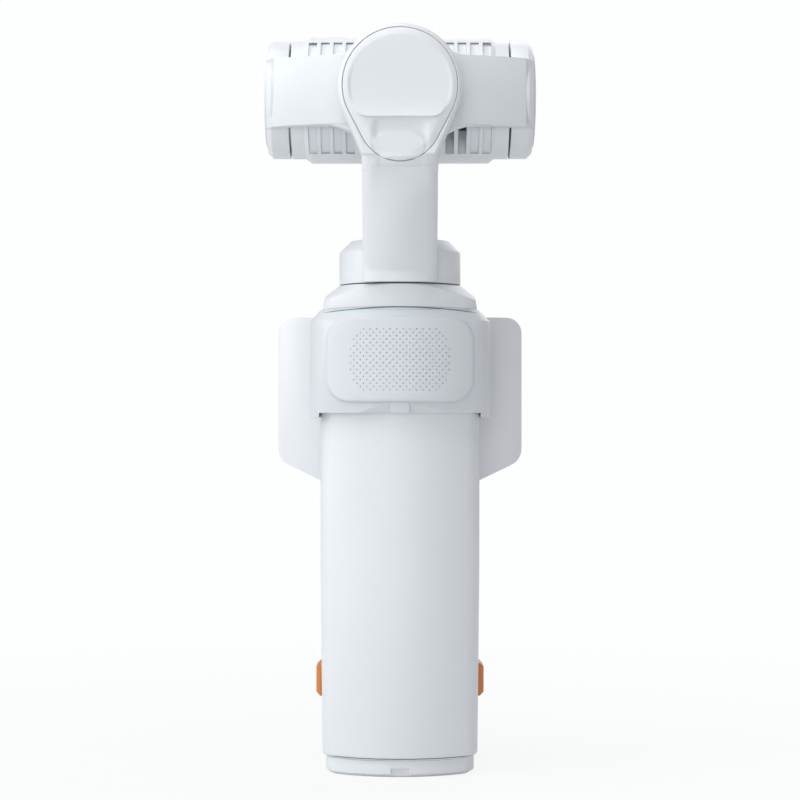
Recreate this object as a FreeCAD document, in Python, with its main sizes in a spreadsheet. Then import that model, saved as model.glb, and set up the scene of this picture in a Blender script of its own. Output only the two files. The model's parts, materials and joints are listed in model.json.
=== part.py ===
import FreeCAD, Part
import math
import os
import re

import Sketcher

# Hand-held three-axis gimbal camera, in millimetres. The pan axis is the Z axis, the base stands on
# the plane Z = 0, the lenses and the screen face +Y and the back of the grip faces -Y.

DRIVING_SIZES = (
    # Grip and base
    ("grip_width", 38.6, "grip, side to side"),
    ("grip_foot_width", 37.6, "grip, side to side at the base seam"),
    ("grip_neck_width", 37.5, "grip, side to side at the collar seam"),
    ("grip_back", 15.0, "pan axis to the back of the grip"),
    ("grip_front", 11.5, "pan axis to the front of the grip"),
    ("grip_back_radius", 30.0, "curve across the back of the grip"),
    ("grip_corner_radius", 7.0, "back corners of the grip"),
    ("grip_front_radius", 2.5, "front corners of the grip"),
    ("grip_wall", 1.6, "wall of the grip"),
    ("grip_waist_height", 50.0, "where the grip stops widening"),
    ("grip_step", 1.0, "height over which the grip narrows to its neck, inside the band"),
    ("base_height", 4.0, "base cap, up to its seam"),
    ("base_foot_inset", 0.9, "base cap, in from the grip above its bevel"),
    ("base_edge", 0.8, "bevels of the base seam"),
    ("base_foot_bevel", 1.2, "bevel round the foot of the base cap"),
    ("notch_width", 4.3, "notch in the back of the base"),
    ("notch_height", 2.2, "notch in the back of the base"),
    ("seam_height", 111.4, "collar seam, on the pan axis"),
    ("seam_rise", 1.0, "how much higher the collar seam is at the back"),
    ("socket_radius", 3.175, "tripod socket thread"),
    ("socket_depth", 7.0, "tripod socket"),
    ("socket_wall", 1.5, "brass insert of the tripod socket"),
    ("socket_boss_wall", 1.4, "plastic round the brass insert"),
    ("port_width", 9.0, "data port shell"),
    ("port_depth", 3.2, "data port shell"),
    ("port_height", 7.2, "data port shell"),
    ("port_wall", 0.35, "data port shell"),
    ("port_tongue", 0.7, "tongue inside the data port"),
    ("base_screw_spread", 14.6, "base screws, from the middle"),
    ("base_screw_radius", 1.4, "base screws, to their corners"),
    ("post_width", 5.8, "screw posts in the grip"),
    ("post_height", 8.0, "screw posts in the grip"),
    ("notch_depth", 1.6, "notch in the back of the base"),
    ("socket_floor", 0.6, "brass left below the thread"),
    ("port_offset", 7.9, "data port, forward of the pan axis"),
    ("port_sink", 0.3, "data port, in from the base"),
    ("base_screw_sink", 0.4, "base screws, in from the base"),
    ("contact_lift", 6.0, "contact block, above the battery"),
    ("contact_width", 12.0, "contact block"),
    ("contact_rise", 4.0, "contact block"),
    ("rail_lift", 4.0, "rails that carry the grip board, above the battery"),
    ("rail_length", 36.0, "rails that carry the grip board"),
    ("rail_depth", 1.6, "rails that carry the grip board"),
    ("lug_inner", 12.0, "hooks of the screen module, from the middle"),
    ("lug_thickness", 1.1, "hooks of the screen module"),
    ("lug_reach", 3.4, "hooks of the screen module"),
    # Inside the grip
    ("battery_width", 20.0, "battery cell"),
    ("battery_depth", 16.0, "battery cell"),
    ("battery_height", 52.0, "battery cell"),
    ("cage_wall", 1.2, "battery cage"),
    ("board_width", 27.0, "grip board"),
    ("board_height", 40.0, "grip board"),
    ("board_thickness", 1.2, "circuit boards"),
    ("board_place", 5.0, "grip board, forward of the pan axis"),
    # Side buttons
    ("button_height", 8.0, "orange side button"),
    ("button_depth", 9.0, "orange side button"),
    ("button_middle", 21.9, "height of the side buttons"),
    ("button_offset", 2.2, "side buttons, forward of the pan axis"),
    ("button_proud", 1.45, "how far the side buttons stand out"),
    ("button_bevel", 0.9, "bevel round the side buttons"),
    ("button_flange", 1.2, "flange that keeps a side button in"),
    ("latch_thickness", 1.4, "latch behind a side button"),
    ("spring_radius", 1.5, "button spring"),
    # Band and perforated cover
    ("band_thickness", 2.5, "frosted band"),
    ("band_bottom", 87.0, "lower edge of the band"),
    ("band_top_bevel", 2.3, "sloping top of the band"),
    ("band_foot_height", 1.1, "feet of the band below its lower edge"),
    ("band_low_bevel", 1.5, "sloping lower edge of the band"),
    ("band_low_rise", 2.4, "sloping lower edge of the band"),
    ("band_low_inset", 1.0, "sloping lower edge of the band, in from its feet"),
    ("band_tab_width", 4.4, "tab in the band's sloping lower edge"),
    ("band_front", 6.0, "where the band ends, forward of the pan axis"),
    ("cover_width", 35.4, "perforated cover"),
    ("cover_height", 20.2, "perforated cover"),
    ("cover_middle", 99.7, "height of the perforated cover"),
    ("cover_corner", 5.6, "perforated cover"),
    ("cover_proud", 0.9, "how far the perforated cover stands out of the band"),
    ("speaker_width", 18.0, "loudspeaker"),
    ("speaker_height", 12.0, "loudspeaker"),
    ("speaker_depth", 3.4, "loudspeaker"),
    ("speaker_front", 16.0, "pan axis to the front of the loudspeaker"),
    ("spring_length", 2.0, "button spring"),
    # Pan joint
    ("shaft_seat", 3.0, "how deep a shaft sits in the part it drives"),
    ("collar_width", 36.2, "collar, side to side below its bevel"),
    ("collar_bevel_height", 115.5, "where the collar's bevel starts"),
    ("collar_top", 117.9, "top of the collar"),
    ("collar_top_radius", 14.9, "top of the collar"),
    ("collar_wall", 1.8, "collar"),
    ("running_gap", 0.3, "air gap between turning housings"),
    ("drum_radius", 14.8, "pan drum"),
    ("drum_top", 128.8, "top of the pan drum"),
    ("drum_bevel", 2.8, "bevel round the top of the pan drum"),
    ("drum_roof", 2.2, "roof of the pan drum"),
    ("motor_bore_radius", 12.4, "bore that holds a rotor ring in pan drum and arm"),
    ("rotor_wall", 2.6, "rotor ring"),
    ("magnet_count", 14, "flat magnets of a rotor ring"),
    ("magnet_gap", 0.5, "stator to rotor ring"),
    ("seat_clearance", 0.03, "radial clearance of a seat within one body"),
    ("shaft_clearance", 0.04, "radial running clearance of a shaft"),
    ("shaft_radius", 1.5, "motor shafts"),
    ("hub_radius", 3.8, "hubs that carry the stators"),
    ("hub_sides", 8, "flats of a hub"),
    ("bearing_radius", 2.8, "bearing outer ring"),
    ("bearing_width", 2.0, "bearing"),
    ("stator_teeth", 9, "teeth of a stator"),
    ("stator_core_radius", 5.2, "stator core"),
    ("tooth_width", 1.8, "stator tooth"),
    # Arm and roll motor
    ("arm_width", 17.7, "arm"),
    ("arm_bevel", 2.6, "bevel of the arm's outer edges"),
    ("arm_foot_reach", 16.8, "pan axis to the arm's outer face at its foot"),
    ("arm_foot_knee", 121.0, "where the arm starts to lean out"),
    ("arm_top_knee", 147.0, "where the arm stands upright again"),
    ("arm_inner_knee", 142.5, "the same on the arm's inner face"),
    ("knee_radius", 12.0, "bends of the arm"),
    ("tilt_axis_height", 163.4, "tilt axis"),
    ("roll_axis_height", 162.9, "roll axis"),
    ("housing_radius", 14.4, "roll motor housing"),
    ("housing_front", 22.1, "pan axis to the roll housing's open side"),
    ("housing_back", 30.4, "pan axis to the roll housing's rim"),
    ("housing_edge", 0.8, "bevel of the roll housing's rim"),
    ("housing_web", 1.4, "web inside the roll housing"),
    ("cover_recess", 2.4, "recess for the teardrop cover"),
    ("teardrop_radius", 13.4, "round part of the teardrop cover"),
    ("teardrop_drop", 17.6, "roll axis to the lower end of the teardrop cover"),
    ("teardrop_foot_radius", 9.8, "lower end of the teardrop cover"),
    ("teardrop_plate", 1.5, "teardrop cover"),
    ("cover_seam", 0.12, "seam round the teardrop cover"),
    ("disc_radius", 11.7, "raised disc on the teardrop cover"),
    ("disc_chord_drop", 7.4, "roll axis to the disc's straight lower edge"),
    ("disc_proud", 1.3, "lip of the disc on the teardrop cover"),
    ("scoop_depth", 0.4, "how far the disc is sunk above its lip"),
    ("lip_rise", 5.6, "height over which the scoop curves out to its lip"),
    ("disc_corner", 3.4, "lower corners of the disc"),
    ("lobe_width", 12.0, "lower lobe on the teardrop cover"),
    ("lobe_height", 6.4, "lower lobe on the teardrop cover"),
    ("lobe_proud", 0.4, "lower lobe on the teardrop cover"),
    ("scoop_radius", 12.2, "curve of the scoop up to its lip"),
    ("lobe_margin", 0.6, "lower lobe, up from the end of the teardrop cover"),
    ("motor_board_margin", 1.5, "motor board, in from the teardrop cover"),
    # Yoke
    ("head_clearance", 0.5, "air round the camera barrel"),
    ("yoke_apex", 21.4, "tilt axis to the back of the cross bar"),
    ("yoke_bar_height", 16.3, "cross bar"),
    ("yoke_end_bevel", 2.0, "how far from its end the cross bar turns to its end bevel"),
    ("yoke_bend_reach", 14.2, "how far back the cross bar is there"),
    ("yoke_end_reach", 10.4, "how far back the cross bar is at its outer corner"),
    ("yoke_bow_radius", 65.7, "bow of the cross bar"),
    ("cheek_radius", 14.2, "cheeks"),
    ("cheek_thickness", 5.4, "cheeks"),
    ("cheek_edge", 1.2, "bevel of the cheeks' outer edge"),
    ("cheek_wall", 1.3, "end wall of a cheek"),
    ("cheek_cover_radius", 11.4, "cheek cover"),
    ("cheek_cover_proud", 0.5, "cheek cover"),
    ("boss_radius", 13.2, "round boss behind the cross bar"),
    ("round_sides", 32, "flats of the boss and the cheek covers"),
    # Camera head
    ("head_half_length", 26.2, "camera barrel, middle to end"),
    ("head_radius", 15.3, "camera barrel"),
    ("ring_radius", 14.25, "end rings of the camera barrel"),
    ("ring_length", 3.2, "end rings of the camera barrel"),
    ("ramp_length", 1.5, "ramp from an end ring to the barrel"),
    ("room_half", 8.0, "room in the camera barrel, up and down from the tilt axis"),
    ("room_back", 7.2, "room in the camera barrel, behind the tilt axis"),
    ("room_front", 9.5, "room in the camera barrel, before the tilt axis"),
    ("end_plate", 1.6, "end plates of the camera barrel"),
    ("vent_width", 2.0, "vent slots"),
    ("vent_pitch", 3.0, "vent slots"),
    ("vent_outer", 20.95, "outermost vent slot, from the middle"),
    ("vent_height", 26.6, "vent slots"),
    ("vent_drop", 0.4, "middle of the vent slots, below the tilt axis"),
    ("vent_count", 4, "vent slots on each side"),
    ("face_width", 41.0, "front plate of the camera head"),
    ("face_height", 18.0, "front plate of the camera head"),
    ("face_reach", 14.0, "tilt axis to the front plate"),
    ("face_corner", 3.0, "front plate of the camera head"),
    ("face_plate", 2.2, "front plate of the camera head"),
    ("main_lens_offset", 9.6, "main lens, from the middle"),
    ("main_lens_radius", 7.6, "main lens ring"),
    ("second_lens_offset", 10.2, "second lens, from the middle"),
    ("second_lens_radius", 5.4, "second lens ring"),
    ("lens_proud", 2.4, "lens rings, out of the front plate"),
    ("lens_ring_width", 1.3, "lens rings"),
    ("lens_back", 3.6, "tilt axis to the back of the lenses"),
    ("lens_glass", 1.2, "front glasses"),
    ("glass_setback", 0.7, "front glasses, behind the lens rings"),
    ("lens_well", 3.2, "how deep a lens ring is open behind its glass"),
    ("sensor_width", 36.0, "sensor board"),
    ("sensor_height", 15.0, "sensor board"),
    ("sink_width", 40.0, "heat sink"),
    ("sink_height", 15.0, "heat sink"),
    ("fin_count", 9, "heat sink fins"),
    ("fin_thickness", 0.8, "heat sink fins"),
    ("fin_depth", 7.0, "heat sink fins"),
    ("vent_floor", 6.0, "how near the vent slots come to the tilt axis"),
    # Screen module
    ("screen_low_corner", 4.5, "lower corners of the screen"),
    ("ear_edge", 0.9, "edge of an ear behind the module's seam"),
    ("bezel_floor", 2.3, "face of the bezel"),
    ("slot_depth", 1.0, "slot in the right edge"),
    ("slot_width", 1.0, "slot in the right edge"),
    ("room_rib", 20.0, "ribs that carry the module board"),
    ("key_switch", 1.2, "switch under a button"),
    ("key_switch_width", 4.0, "switch under a button"),
    ("key_bevel", 0.3, "bevel round a button"),
    ("cradle_width", 5.7, "cradle of the thumb stick"),
    ("cradle_wall", 0.9, "cradle of the thumb stick"),
    ("cradle_height", 1.4, "cradle of the thumb stick"),
    ("stick_socket_wall", 0.9, "socket of the thumb stick"),
    ("pin_radius", 0.45, "pivot pins of the thumb stick"),
    ("stick_lift", 0.7, "gap under the thumb stick's cap"),
    ("module_back", 11.8, "pan axis to the back of the screen module"),
    ("module_split", 17.0, "pan axis to the seam of the screen module"),
    ("module_front", 21.4, "pan axis to the front of the screen module"),
    ("screen_top", 110.8, "top of the screen module"),
    ("screen_half_width", 30.7, "screen module, middle to side"),
    ("screen_top_corner", 3.9, "upper corners of the screen module"),
    ("screen_side_bottom", 75.0, "lower end of the screen module's sides"),
    ("stem_half_width", 18.2, "stem of the screen module, middle to side"),
    ("stem_top", 69.2, "where the stem meets the screen"),
    ("stem_bottom", 13.0, "lower end of the stem"),
    ("stem_corner", 6.0, "lower corners of the stem"),
    ("ear_start", 19.0, "where the ears start to thin, from the middle"),
    ("ear_back_radius", 34.0, "curve across the back of an ear"),
    ("module_wall", 1.4, "screen module"),
    ("module_edge", 0.9, "bevel of the screen module's front edge"),
    ("glass_width", 56.0, "screen glass"),
    ("glass_height", 33.5, "screen glass"),
    ("glass_middle", 90.8, "height of the screen glass"),
    ("glass_corner", 2.6, "screen glass"),
    ("glass_thickness", 0.7, "screen glass"),
    ("display_margin", 2.4, "dark border of the screen"),
    ("display_thickness", 1.6, "display panel"),
    ("slot_height", 81.0, "height of the slot in the right edge"),
    ("slot_length", 2.2, "slot in the right edge"),
    ("stick_height", 58.0, "thumb stick"),
    ("stick_radius", 4.4, "thumb stick cap"),
    ("stick_stem_width", 2.8, "thumb stick"),
    ("stick_rise", 3.2, "thumb stick cap, out of the bezel"),
    ("stick_hole_radius", 5.8, "hole for the thumb stick"),
    ("stick_pivot_reach", 18.9, "pan axis to the thumb stick's pivots"),
    ("record_drop", 17.0, "record button, below the thumb stick"),
    ("record_radius", 5.6, "record button"),
    ("record_rise", 0.7, "record button, out of the bezel"),
    ("key_drop", 16.0, "small buttons, below the record button"),
    ("key_spread", 8.6, "small buttons, from the middle"),
    ("key_width", 6.4, "small buttons"),
    ("key_tall", 4.6, "small buttons"),
    ("key_rise", 0.5, "small buttons, out of the bezel"),
    ("key_travel", 0.4, "travel of the record and small buttons"),
    ("key_gap", 0.25, "gap round buttons and windows"),
    ("key_flange", 0.8, "flange that keeps a button in"),
    ("tab_width", 3.0, "tabs that keep the record button in"),
)

document = FreeCAD.newDocument("GimbalCamera")
sizes = document.addObject("Spreadsheet::Sheet", "Sizes")
size_names = set()
for row, (size_name, size_value, meaning) in enumerate(DRIVING_SIZES, start=1):
    sizes.set("A%d" % row, meaning)
    sizes.set("B%d" % row, str(size_value))
    sizes.setAlias("B%d" % row, size_name)
    size_names.add(size_name)
document.recompute()

WORD = re.compile(r"[a-z_]+")
VECTOR = FreeCAD.Vector
NORMAL = VECTOR(0, 0, 1)
ROOT_POINT = (-1, 1)
TINY = 1e-6


def linked(text):
    """The expression with each size name reached through the sheet."""
    return WORD.sub(lambda word: ("Sizes." if word.group() in size_names else "") + word.group(), text)


def number(text):
    """What an expression of size names is worth now."""
    return float(sizes.evalExpression(text))


def pin_point(sketch, geometry, place, x, y):
    """Bind a point of the sketch to two expressions."""
    for kind, text in (("DistanceX", x), ("DistanceY", y)):
        constraint = Sketcher.Constraint(kind, *ROOT_POINT, geometry, place, number(text))
        index = sketch.addConstraint(constraint)
        sketch.setExpression("Constraints[%d]" % index, linked(text))


def pin_radius(sketch, geometry, radius):
    """Bind the radius of a circle or arc to an expression."""
    index = sketch.addConstraint(Sketcher.Constraint("Radius", geometry, number(radius)))
    sketch.setExpression("Constraints[%d]" % index, linked(radius))


def arc_between(start, end, radius, bulge):
    """The short arc from start to end: bulge 1 turns left on its way, -1 turns right."""
    chord = end - start
    half = chord.Length / 2
    away = math.sqrt(max(radius * radius - half * half, 0.0))
    side = VECTOR(-chord.y, chord.x, 0).normalize() * away * bulge
    centre = (start + end) / 2 + side
    first, last = (start, end) if bulge > 0 else (end, start)
    angles = [math.atan2(point.y - centre.y, point.x - centre.x) for point in (first, last)]
    return Part.ArcOfCircle(Part.Circle(centre, NORMAL, radius), angles[0], angles[1])


def circle(x, y, radius):
    """A circle about (x, y)."""
    def draw(sketch):
        centre = VECTOR(number(x), number(y), 0)
        index = sketch.addGeometry(Part.Circle(centre, NORMAL, number(radius)), False)
        pin_point(sketch, index, 3, x, y)
        pin_radius(sketch, index, radius)
    return draw


def outline(*corners):
    """A closed outline of corners (x, y), drawn anticlockwise. A corner (x, y, "round", radius) is
    rounded; from (x, y, "arc", radius) an arc runs to the next corner and bulges outwards, and
    from (x, y, "dip", radius) it bulges inwards."""
    def draw(sketch):
        count = len(corners)
        points = [VECTOR(number(corner[0]), number(corner[1]), 0) for corner in corners]
        kinds = [corner[2] if len(corner) > 2 else "" for corner in corners]
        radii = [corner[3] if len(corner) > 2 else "0" for corner in corners]
        starts = list(points)
        ends = list(points)
        for i in range(count):
            if kinds[i] == "round":
                back = (points[i - 1] - points[i]).normalize()
                ahead = (points[(i + 1) % count] - points[i]).normalize()
                reach = number(radii[i]) / math.tan(back.getAngle(ahead) / 2)
                ends[i] = points[i] + back * reach
                starts[i] = points[i] + ahead * reach
        edges = []
        for i in range(count):
            start = starts[i]
            end = ends[(i + 1) % count]
            if kinds[i] in ("arc", "dip"):
                bulge = 1 if kinds[i] == "arc" else -1
                index = sketch.addGeometry(arc_between(start, end, number(radii[i]), bulge), False)
                pin_radius(sketch, index, radii[i])
                edges.append((index, 1, 2) if bulge > 0 else (index, 2, 1))
            else:
                index = sketch.addGeometry(Part.LineSegment(start, end), False)
                edges.append((index, 1, 2))
        for i in range(count):
            before, after = edges[i - 1], edges[i]
            x, y = corners[i][0], corners[i][1]
            if kinds[i] != "round":
                joint = Sketcher.Constraint("Coincident", before[0], before[2], after[0], after[1])
                sketch.addConstraint(joint)
                pin_point(sketch, after[0], after[1], x, y)
                continue
            turn = (points[i] - ends[i]).cross(starts[i] - points[i]).z
            bulge = 1 if turn > 0 else -1
            bend = arc_between(ends[i], starts[i], number(radii[i]), bulge)
            arc = sketch.addGeometry(bend, False)
            first, last = (1, 2) if bulge > 0 else (2, 1)
            sketch.addConstraint(Sketcher.Constraint("Tangent", before[0], before[2], arc, first))
            sketch.addConstraint(Sketcher.Constraint("Tangent", arc, last, after[0], after[1]))
            pin_radius(sketch, arc, radii[i])
            apex = sketch.addGeometry(Part.Point(points[i]), True)
            sketch.addConstraint(Sketcher.Constraint("PointOnObject", apex, 1, before[0]))
            sketch.addConstraint(Sketcher.Constraint("PointOnObject", apex, 1, after[0]))
            pin_point(sketch, apex, 1, x, y)
    return draw


def polygon(radius, sides, x="0", y="0"):
    """A regular polygon about (x, y), given by the radius of its corners."""
    count = int(number(sides))
    return outline(*[("%s + (%s) * cos(%d * 360 / %d)" % (x, radius, i, count),
                      "%s + (%s) * sin(%d * 360 / %d)" % (y, radius, i, count))
                     for i in range(count)])


def raised(shape, height):
    """The same shape with its centre at a height: its sketch is moved up."""
    def draw(sketch):
        shape(sketch)
        sketch.setExpression(".AttachmentOffset.Base.y", linked(height))
    return draw


def rectangle(left, right, bottom, top, radius="0"):
    """A rectangle, with rounded corners if a radius is given."""
    places = ((left, bottom), (right, bottom), (right, top), (left, top))
    if radius == "0":
        return outline(*places)
    return outline(*[(x, y, "round", radius) for x, y in places])


def centred(x, y, width, height, radius="0"):
    """A rectangle about (x, y)."""
    return rectangle("%s - (%s) / 2" % (x, width), "%s + (%s) / 2" % (x, width),
                     "%s - (%s) / 2" % (y, height), "%s + (%s) / 2" % (y, height), radius)


class Piece:
    """One sub-part: a body with its sketches and features, drawn about its own origin."""

    def __init__(self, label, x="0", y="0", z="0", turn=None):
        self.label = label
        self.body = document.addObject("PartDesign::Body", label)
        self.body.Label = label
        if turn:
            self.body.Placement = FreeCAD.Placement(VECTOR(), FreeCAD.Rotation(*turn))
        for axis, place in zip("xyz", (x, y, z)):
            self.body.setExpression(".Placement.Base." + axis, linked(place))
        self.planes = {}
        for feature in self.body.Origin.OriginFeatures:
            self.planes[feature.Role] = feature
        pieces.append((label, self.body))

    def sketch(self, plane, place, shapes):
        """A sketch parallel to an origin plane, at a place along that plane's axis."""
        sketch = self.body.newObject("Sketcher::SketchObject", self.label + "_sketch")
        sketch.AttachmentSupport = (self.planes[plane + "_Plane"], [""])
        sketch.MapMode = "FlatFace"
        sign = "-" if plane == "XZ" else ""
        sketch.setExpression(".AttachmentOffset.Base.z", linked("%s(%s)" % (sign, place)))
        for shape in shapes:
            shape(sketch)
        return sketch

    def volume(self):
        document.recompute()
        return self.body.Shape.Volume if self.body.Shape.Solids else 0.0

    def extrude(self, kind, plane, start, end, shapes):
        before = self.volume()
        sketch = self.sketch(plane, start, shapes)
        feature = self.body.newObject("PartDesign::" + kind, self.label + "_" + kind.lower())
        feature.Profile = sketch
        feature.setExpression("Length", linked("abs((%s) - (%s))" % (end, start)))
        forward = number(end) > number(start)
        along = forward != (plane == "XZ")
        feature.Reversed = along if kind == "Pocket" else not along
        self.compare(feature, before, kind == "Pocket")
        return feature

    def compare(self, feature, before, removed):
        """A feature that adds or removes nothing is an error."""
        after = self.volume()
        change = before - after if removed else after - before
        if change < TINY:
            raise ValueError("%s changes nothing" % feature.Name)

    def pad(self, plane, start, end, *shapes):
        """Material from one place to another along the plane's axis."""
        return self.extrude("Pad", plane, start, end, shapes)

    def pocket(self, plane, start, end, *shapes):
        """A cut from one place to another along the plane's axis."""
        return self.extrude("Pocket", plane, start, end, shapes)

    def spin(self, kind, plane, axis, shapes):
        before = self.volume()
        sketch = self.sketch(plane, "0", shapes)
        feature = self.body.newObject("PartDesign::" + kind, self.label + "_" + kind.lower())
        feature.Profile = sketch
        feature.ReferenceAxis = (sketch, [axis])
        feature.Angle = 360
        self.compare(feature, before, kind == "Groove")
        return feature

    def revolve(self, plane, axis, *shapes):
        """Material turned about the sketch's H_Axis or V_Axis."""
        return self.spin("Revolution", plane, axis, shapes)

    def groove(self, plane, axis, *shapes):
        """A cut turned about the sketch's H_Axis or V_Axis."""
        return self.spin("Groove", plane, axis, shapes)

    def loft(self, plane, stations):
        """Material through outlines at several places along the plane's axis."""
        before = self.volume()
        profiles = [self.sketch(plane, place, [shape]) for place, shape in stations]
        feature = self.body.newObject("PartDesign::AdditiveLoft", self.label + "_loft")
        feature.Profile = profiles[0]
        feature.Sections = profiles[1:]
        feature.Ruled = True
        self.compare(feature, before, False)
        return feature

    def edges(self, wanted):
        """The names of the body's edges that the test picks."""
        names = []
        for index, edge in enumerate(self.body.Tip.Shape.Edges, start=1):
            if wanted(edge):
                names.append("Edge%d" % index)
        if not names:
            raise ValueError("no edge found on " + self.label)
        return names

    def dress(self, kind, driver, size, wanted):
        document.recompute()
        base = self.body.Tip
        names = self.edges(wanted)
        feature = self.body.newObject("PartDesign::" + kind, self.label + "_" + kind.lower())
        feature.Base = (base, names)
        feature.setExpression(driver, linked(size))
        document.recompute()

    def fillet(self, radius, wanted):
        """Round the edges that the test picks."""
        self.dress("Fillet", "Radius", radius, wanted)

    def chamfer(self, size, wanted):
        """Bevel the edges that the test picks."""
        self.dress("Chamfer", "Size", size, wanted)

    def row(self, feature, axis, length, count):
        """Copies of a feature along its sketch's H_Axis or V_Axis."""
        pattern = self.body.newObject("PartDesign::LinearPattern", self.label + "_row")
        pattern.Originals = [feature]
        pattern.Direction = (feature.Profile[0], [axis])
        pattern.setExpression("Length", linked(length))
        pattern.setExpression("Occurrences", linked(count))
        self.body.Tip = pattern
        document.recompute()

    def ring(self, feature, count):
        """Copies of a feature round its sketch's own centre."""
        pattern = self.body.newObject("PartDesign::PolarPattern", self.label + "_ring")
        pattern.Originals = [feature]
        pattern.Axis = (feature.Profile[0], ["N_Axis"])
        pattern.Angle = 360
        pattern.setExpression("Occurrences", linked(count))
        self.body.Tip = pattern
        document.recompute()

    def mirror(self, features):
        """Copies of features on the other side of the plane X = 0."""
        pattern = self.body.newObject("PartDesign::Mirrored", self.label + "_mirror")
        pattern.Originals = features
        pattern.MirrorPlane = (self.planes["YZ_Plane"], [""])
        self.body.Tip = pattern
        document.recompute()


def mirrored_piece(label, source):
    """The same piece on the other side of the plane X = 0."""
    copy = document.addObject("Part::Mirroring", label)
    copy.Label = label
    copy.Source = source.body
    copy.Base = VECTOR(0, 0, 0)
    copy.Normal = VECTOR(1, 0, 0)
    document.recompute()
    pieces.append((label, copy))


def near(value, text, slack=0.01):
    """Whether a measured length is what an expression says."""
    return abs(value - number(text)) < slack


def spans(edge):
    """The low and high corners of an edge's box."""
    box = edge.BoundBox
    return (box.XMin, box.YMin, box.ZMin), (box.XMax, box.YMax, box.ZMax)


def flat_at(axis, text):
    """Picks edges that lie in the plane where X, Y or Z is the given size."""
    index = "XYZ".index(axis)

    def wanted(edge):
        low, high = spans(edge)
        return near(low[index], text) and near(high[index], text)
    return wanted


pieces = []


# Grip and base

def grip_outline(width, inset="0"):
    """The grip's cross-section, drawn in by an inset: round-backed, flat-fronted."""
    half = "((%s) / 2 - (%s))" % (width, inset)
    back = "(grip_back - (%s))" % inset
    front = "(grip_front - (%s))" % inset
    large = "(grip_back_radius - (%s))" % inset
    small = "(grip_corner_radius - (%s))" % inset
    corner_x = "(%s - %s)" % (half, small)
    drop = "sqrt((%s - %s) ^ 2 - %s ^ 2)" % (large, small, corner_x)
    centre_y = "(%s - %s)" % (large, back)
    corner_y = "(%s - %s)" % (centre_y, drop)
    share = "(%s / (%s - %s))" % (large, large, small)
    touch_x = "%s * %s" % (corner_x, share)
    touch_y = "%s - %s * %s" % (centre_y, drop, share)
    bevel = "grip_front_radius"
    return outline(
        ("-" + touch_x, touch_y, "arc", large),
        (touch_x, touch_y, "arc", small),
        (half, corner_y),
        (half, front, "round", bevel),
        ("-" + half, front, "round", bevel),
        ("-" + half, corner_y, "arc", small))


BATTERY_START = "(socket_depth + 1)"
BATTERY_END = "(%s + battery_height)" % BATTERY_START
CONTACT_HEIGHT = "(%s + contact_lift)" % BATTERY_END
RAIL_START = "(%s + rail_lift)" % BATTERY_END
SEAM_AT_BACK = "seam_height + seam_rise"
SEAM_SLOPE = "(seam_rise / grip_back)"


def beyond_seam(side):
    """The half of the side view above (1) or below (-1) the sloping collar seam."""
    reach = "(2 * grip_back)"
    low_y = "seam_height + %s * %s" % (reach, SEAM_SLOPE)
    high_y = "seam_height - %s * %s" % (reach, SEAM_SLOPE)
    far = "seam_height + %d * grip_back * 3" % side
    corners = [("-" + reach, low_y), (reach, high_y), (reach, far), ("-" + reach, far)]
    return outline(*(corners if side > 0 else corners[::-1]))


def make_grip():
    grip = Piece("grip_housing")
    top = "seam_height + seam_rise * 2"
    stations = (("base_height", "grip_foot_width", "base_edge"),
                ("base_height + base_edge", "grip_foot_width", "0"),
                ("grip_waist_height", "grip_width", "0"), ("band_bottom", "grip_width", "0"),
                ("band_bottom + grip_step", "grip_neck_width", "0"), (top, "grip_neck_width", "0"))
    grip.loft("XY", [(place, grip_outline(width, inset)) for place, width, inset in stations])
    grip.pocket("XY", "base_height", top, grip_outline("grip_neck_width", "grip_wall"))
    for side in ("-", ""):
        grip.pad("XY", "base_height", "base_height + post_height",
                 centred(side + "base_screw_spread", "0", "post_width", "post_width"))
    grip.pocket("YZ", "-grip_width", "grip_width", beyond_seam(1))
    grip.pocket("YZ", "-grip_width", "grip_width",
                centred("button_offset", "button_middle", "button_depth + 2 * key_gap",
                        "button_height + 2 * key_gap"))
    grip.pocket("XZ", "0", "-grip_back * 2",
                centred("0", "cover_middle", "speaker_width + 2 * key_gap",
                        "speaker_height + 2 * key_gap"))
    grip.pocket("XZ", "0", "grip_back * 2",
                centred("0", CONTACT_HEIGHT, "contact_width + 2 * key_gap",
                        "contact_rise + 2 * key_gap"))
    for side in ("-", ""):
        grip.pocket("XZ", "0", "grip_back * 2",
                    centred(side + "(lug_inner + lug_thickness / 2)", "button_middle",
                            "lug_thickness + 2 * key_gap", "button_height + 2 * key_gap"))
    rail = grip.pad("XZ", "board_place - rail_depth", "board_place",
                    rectangle("board_width / 2 - cage_wall", "(grip_foot_width - grip_wall) / 2",
                              RAIL_START, RAIL_START + " + rail_length"))
    grip.mirror([rail])


INSERT_SIDES = "6"


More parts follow.
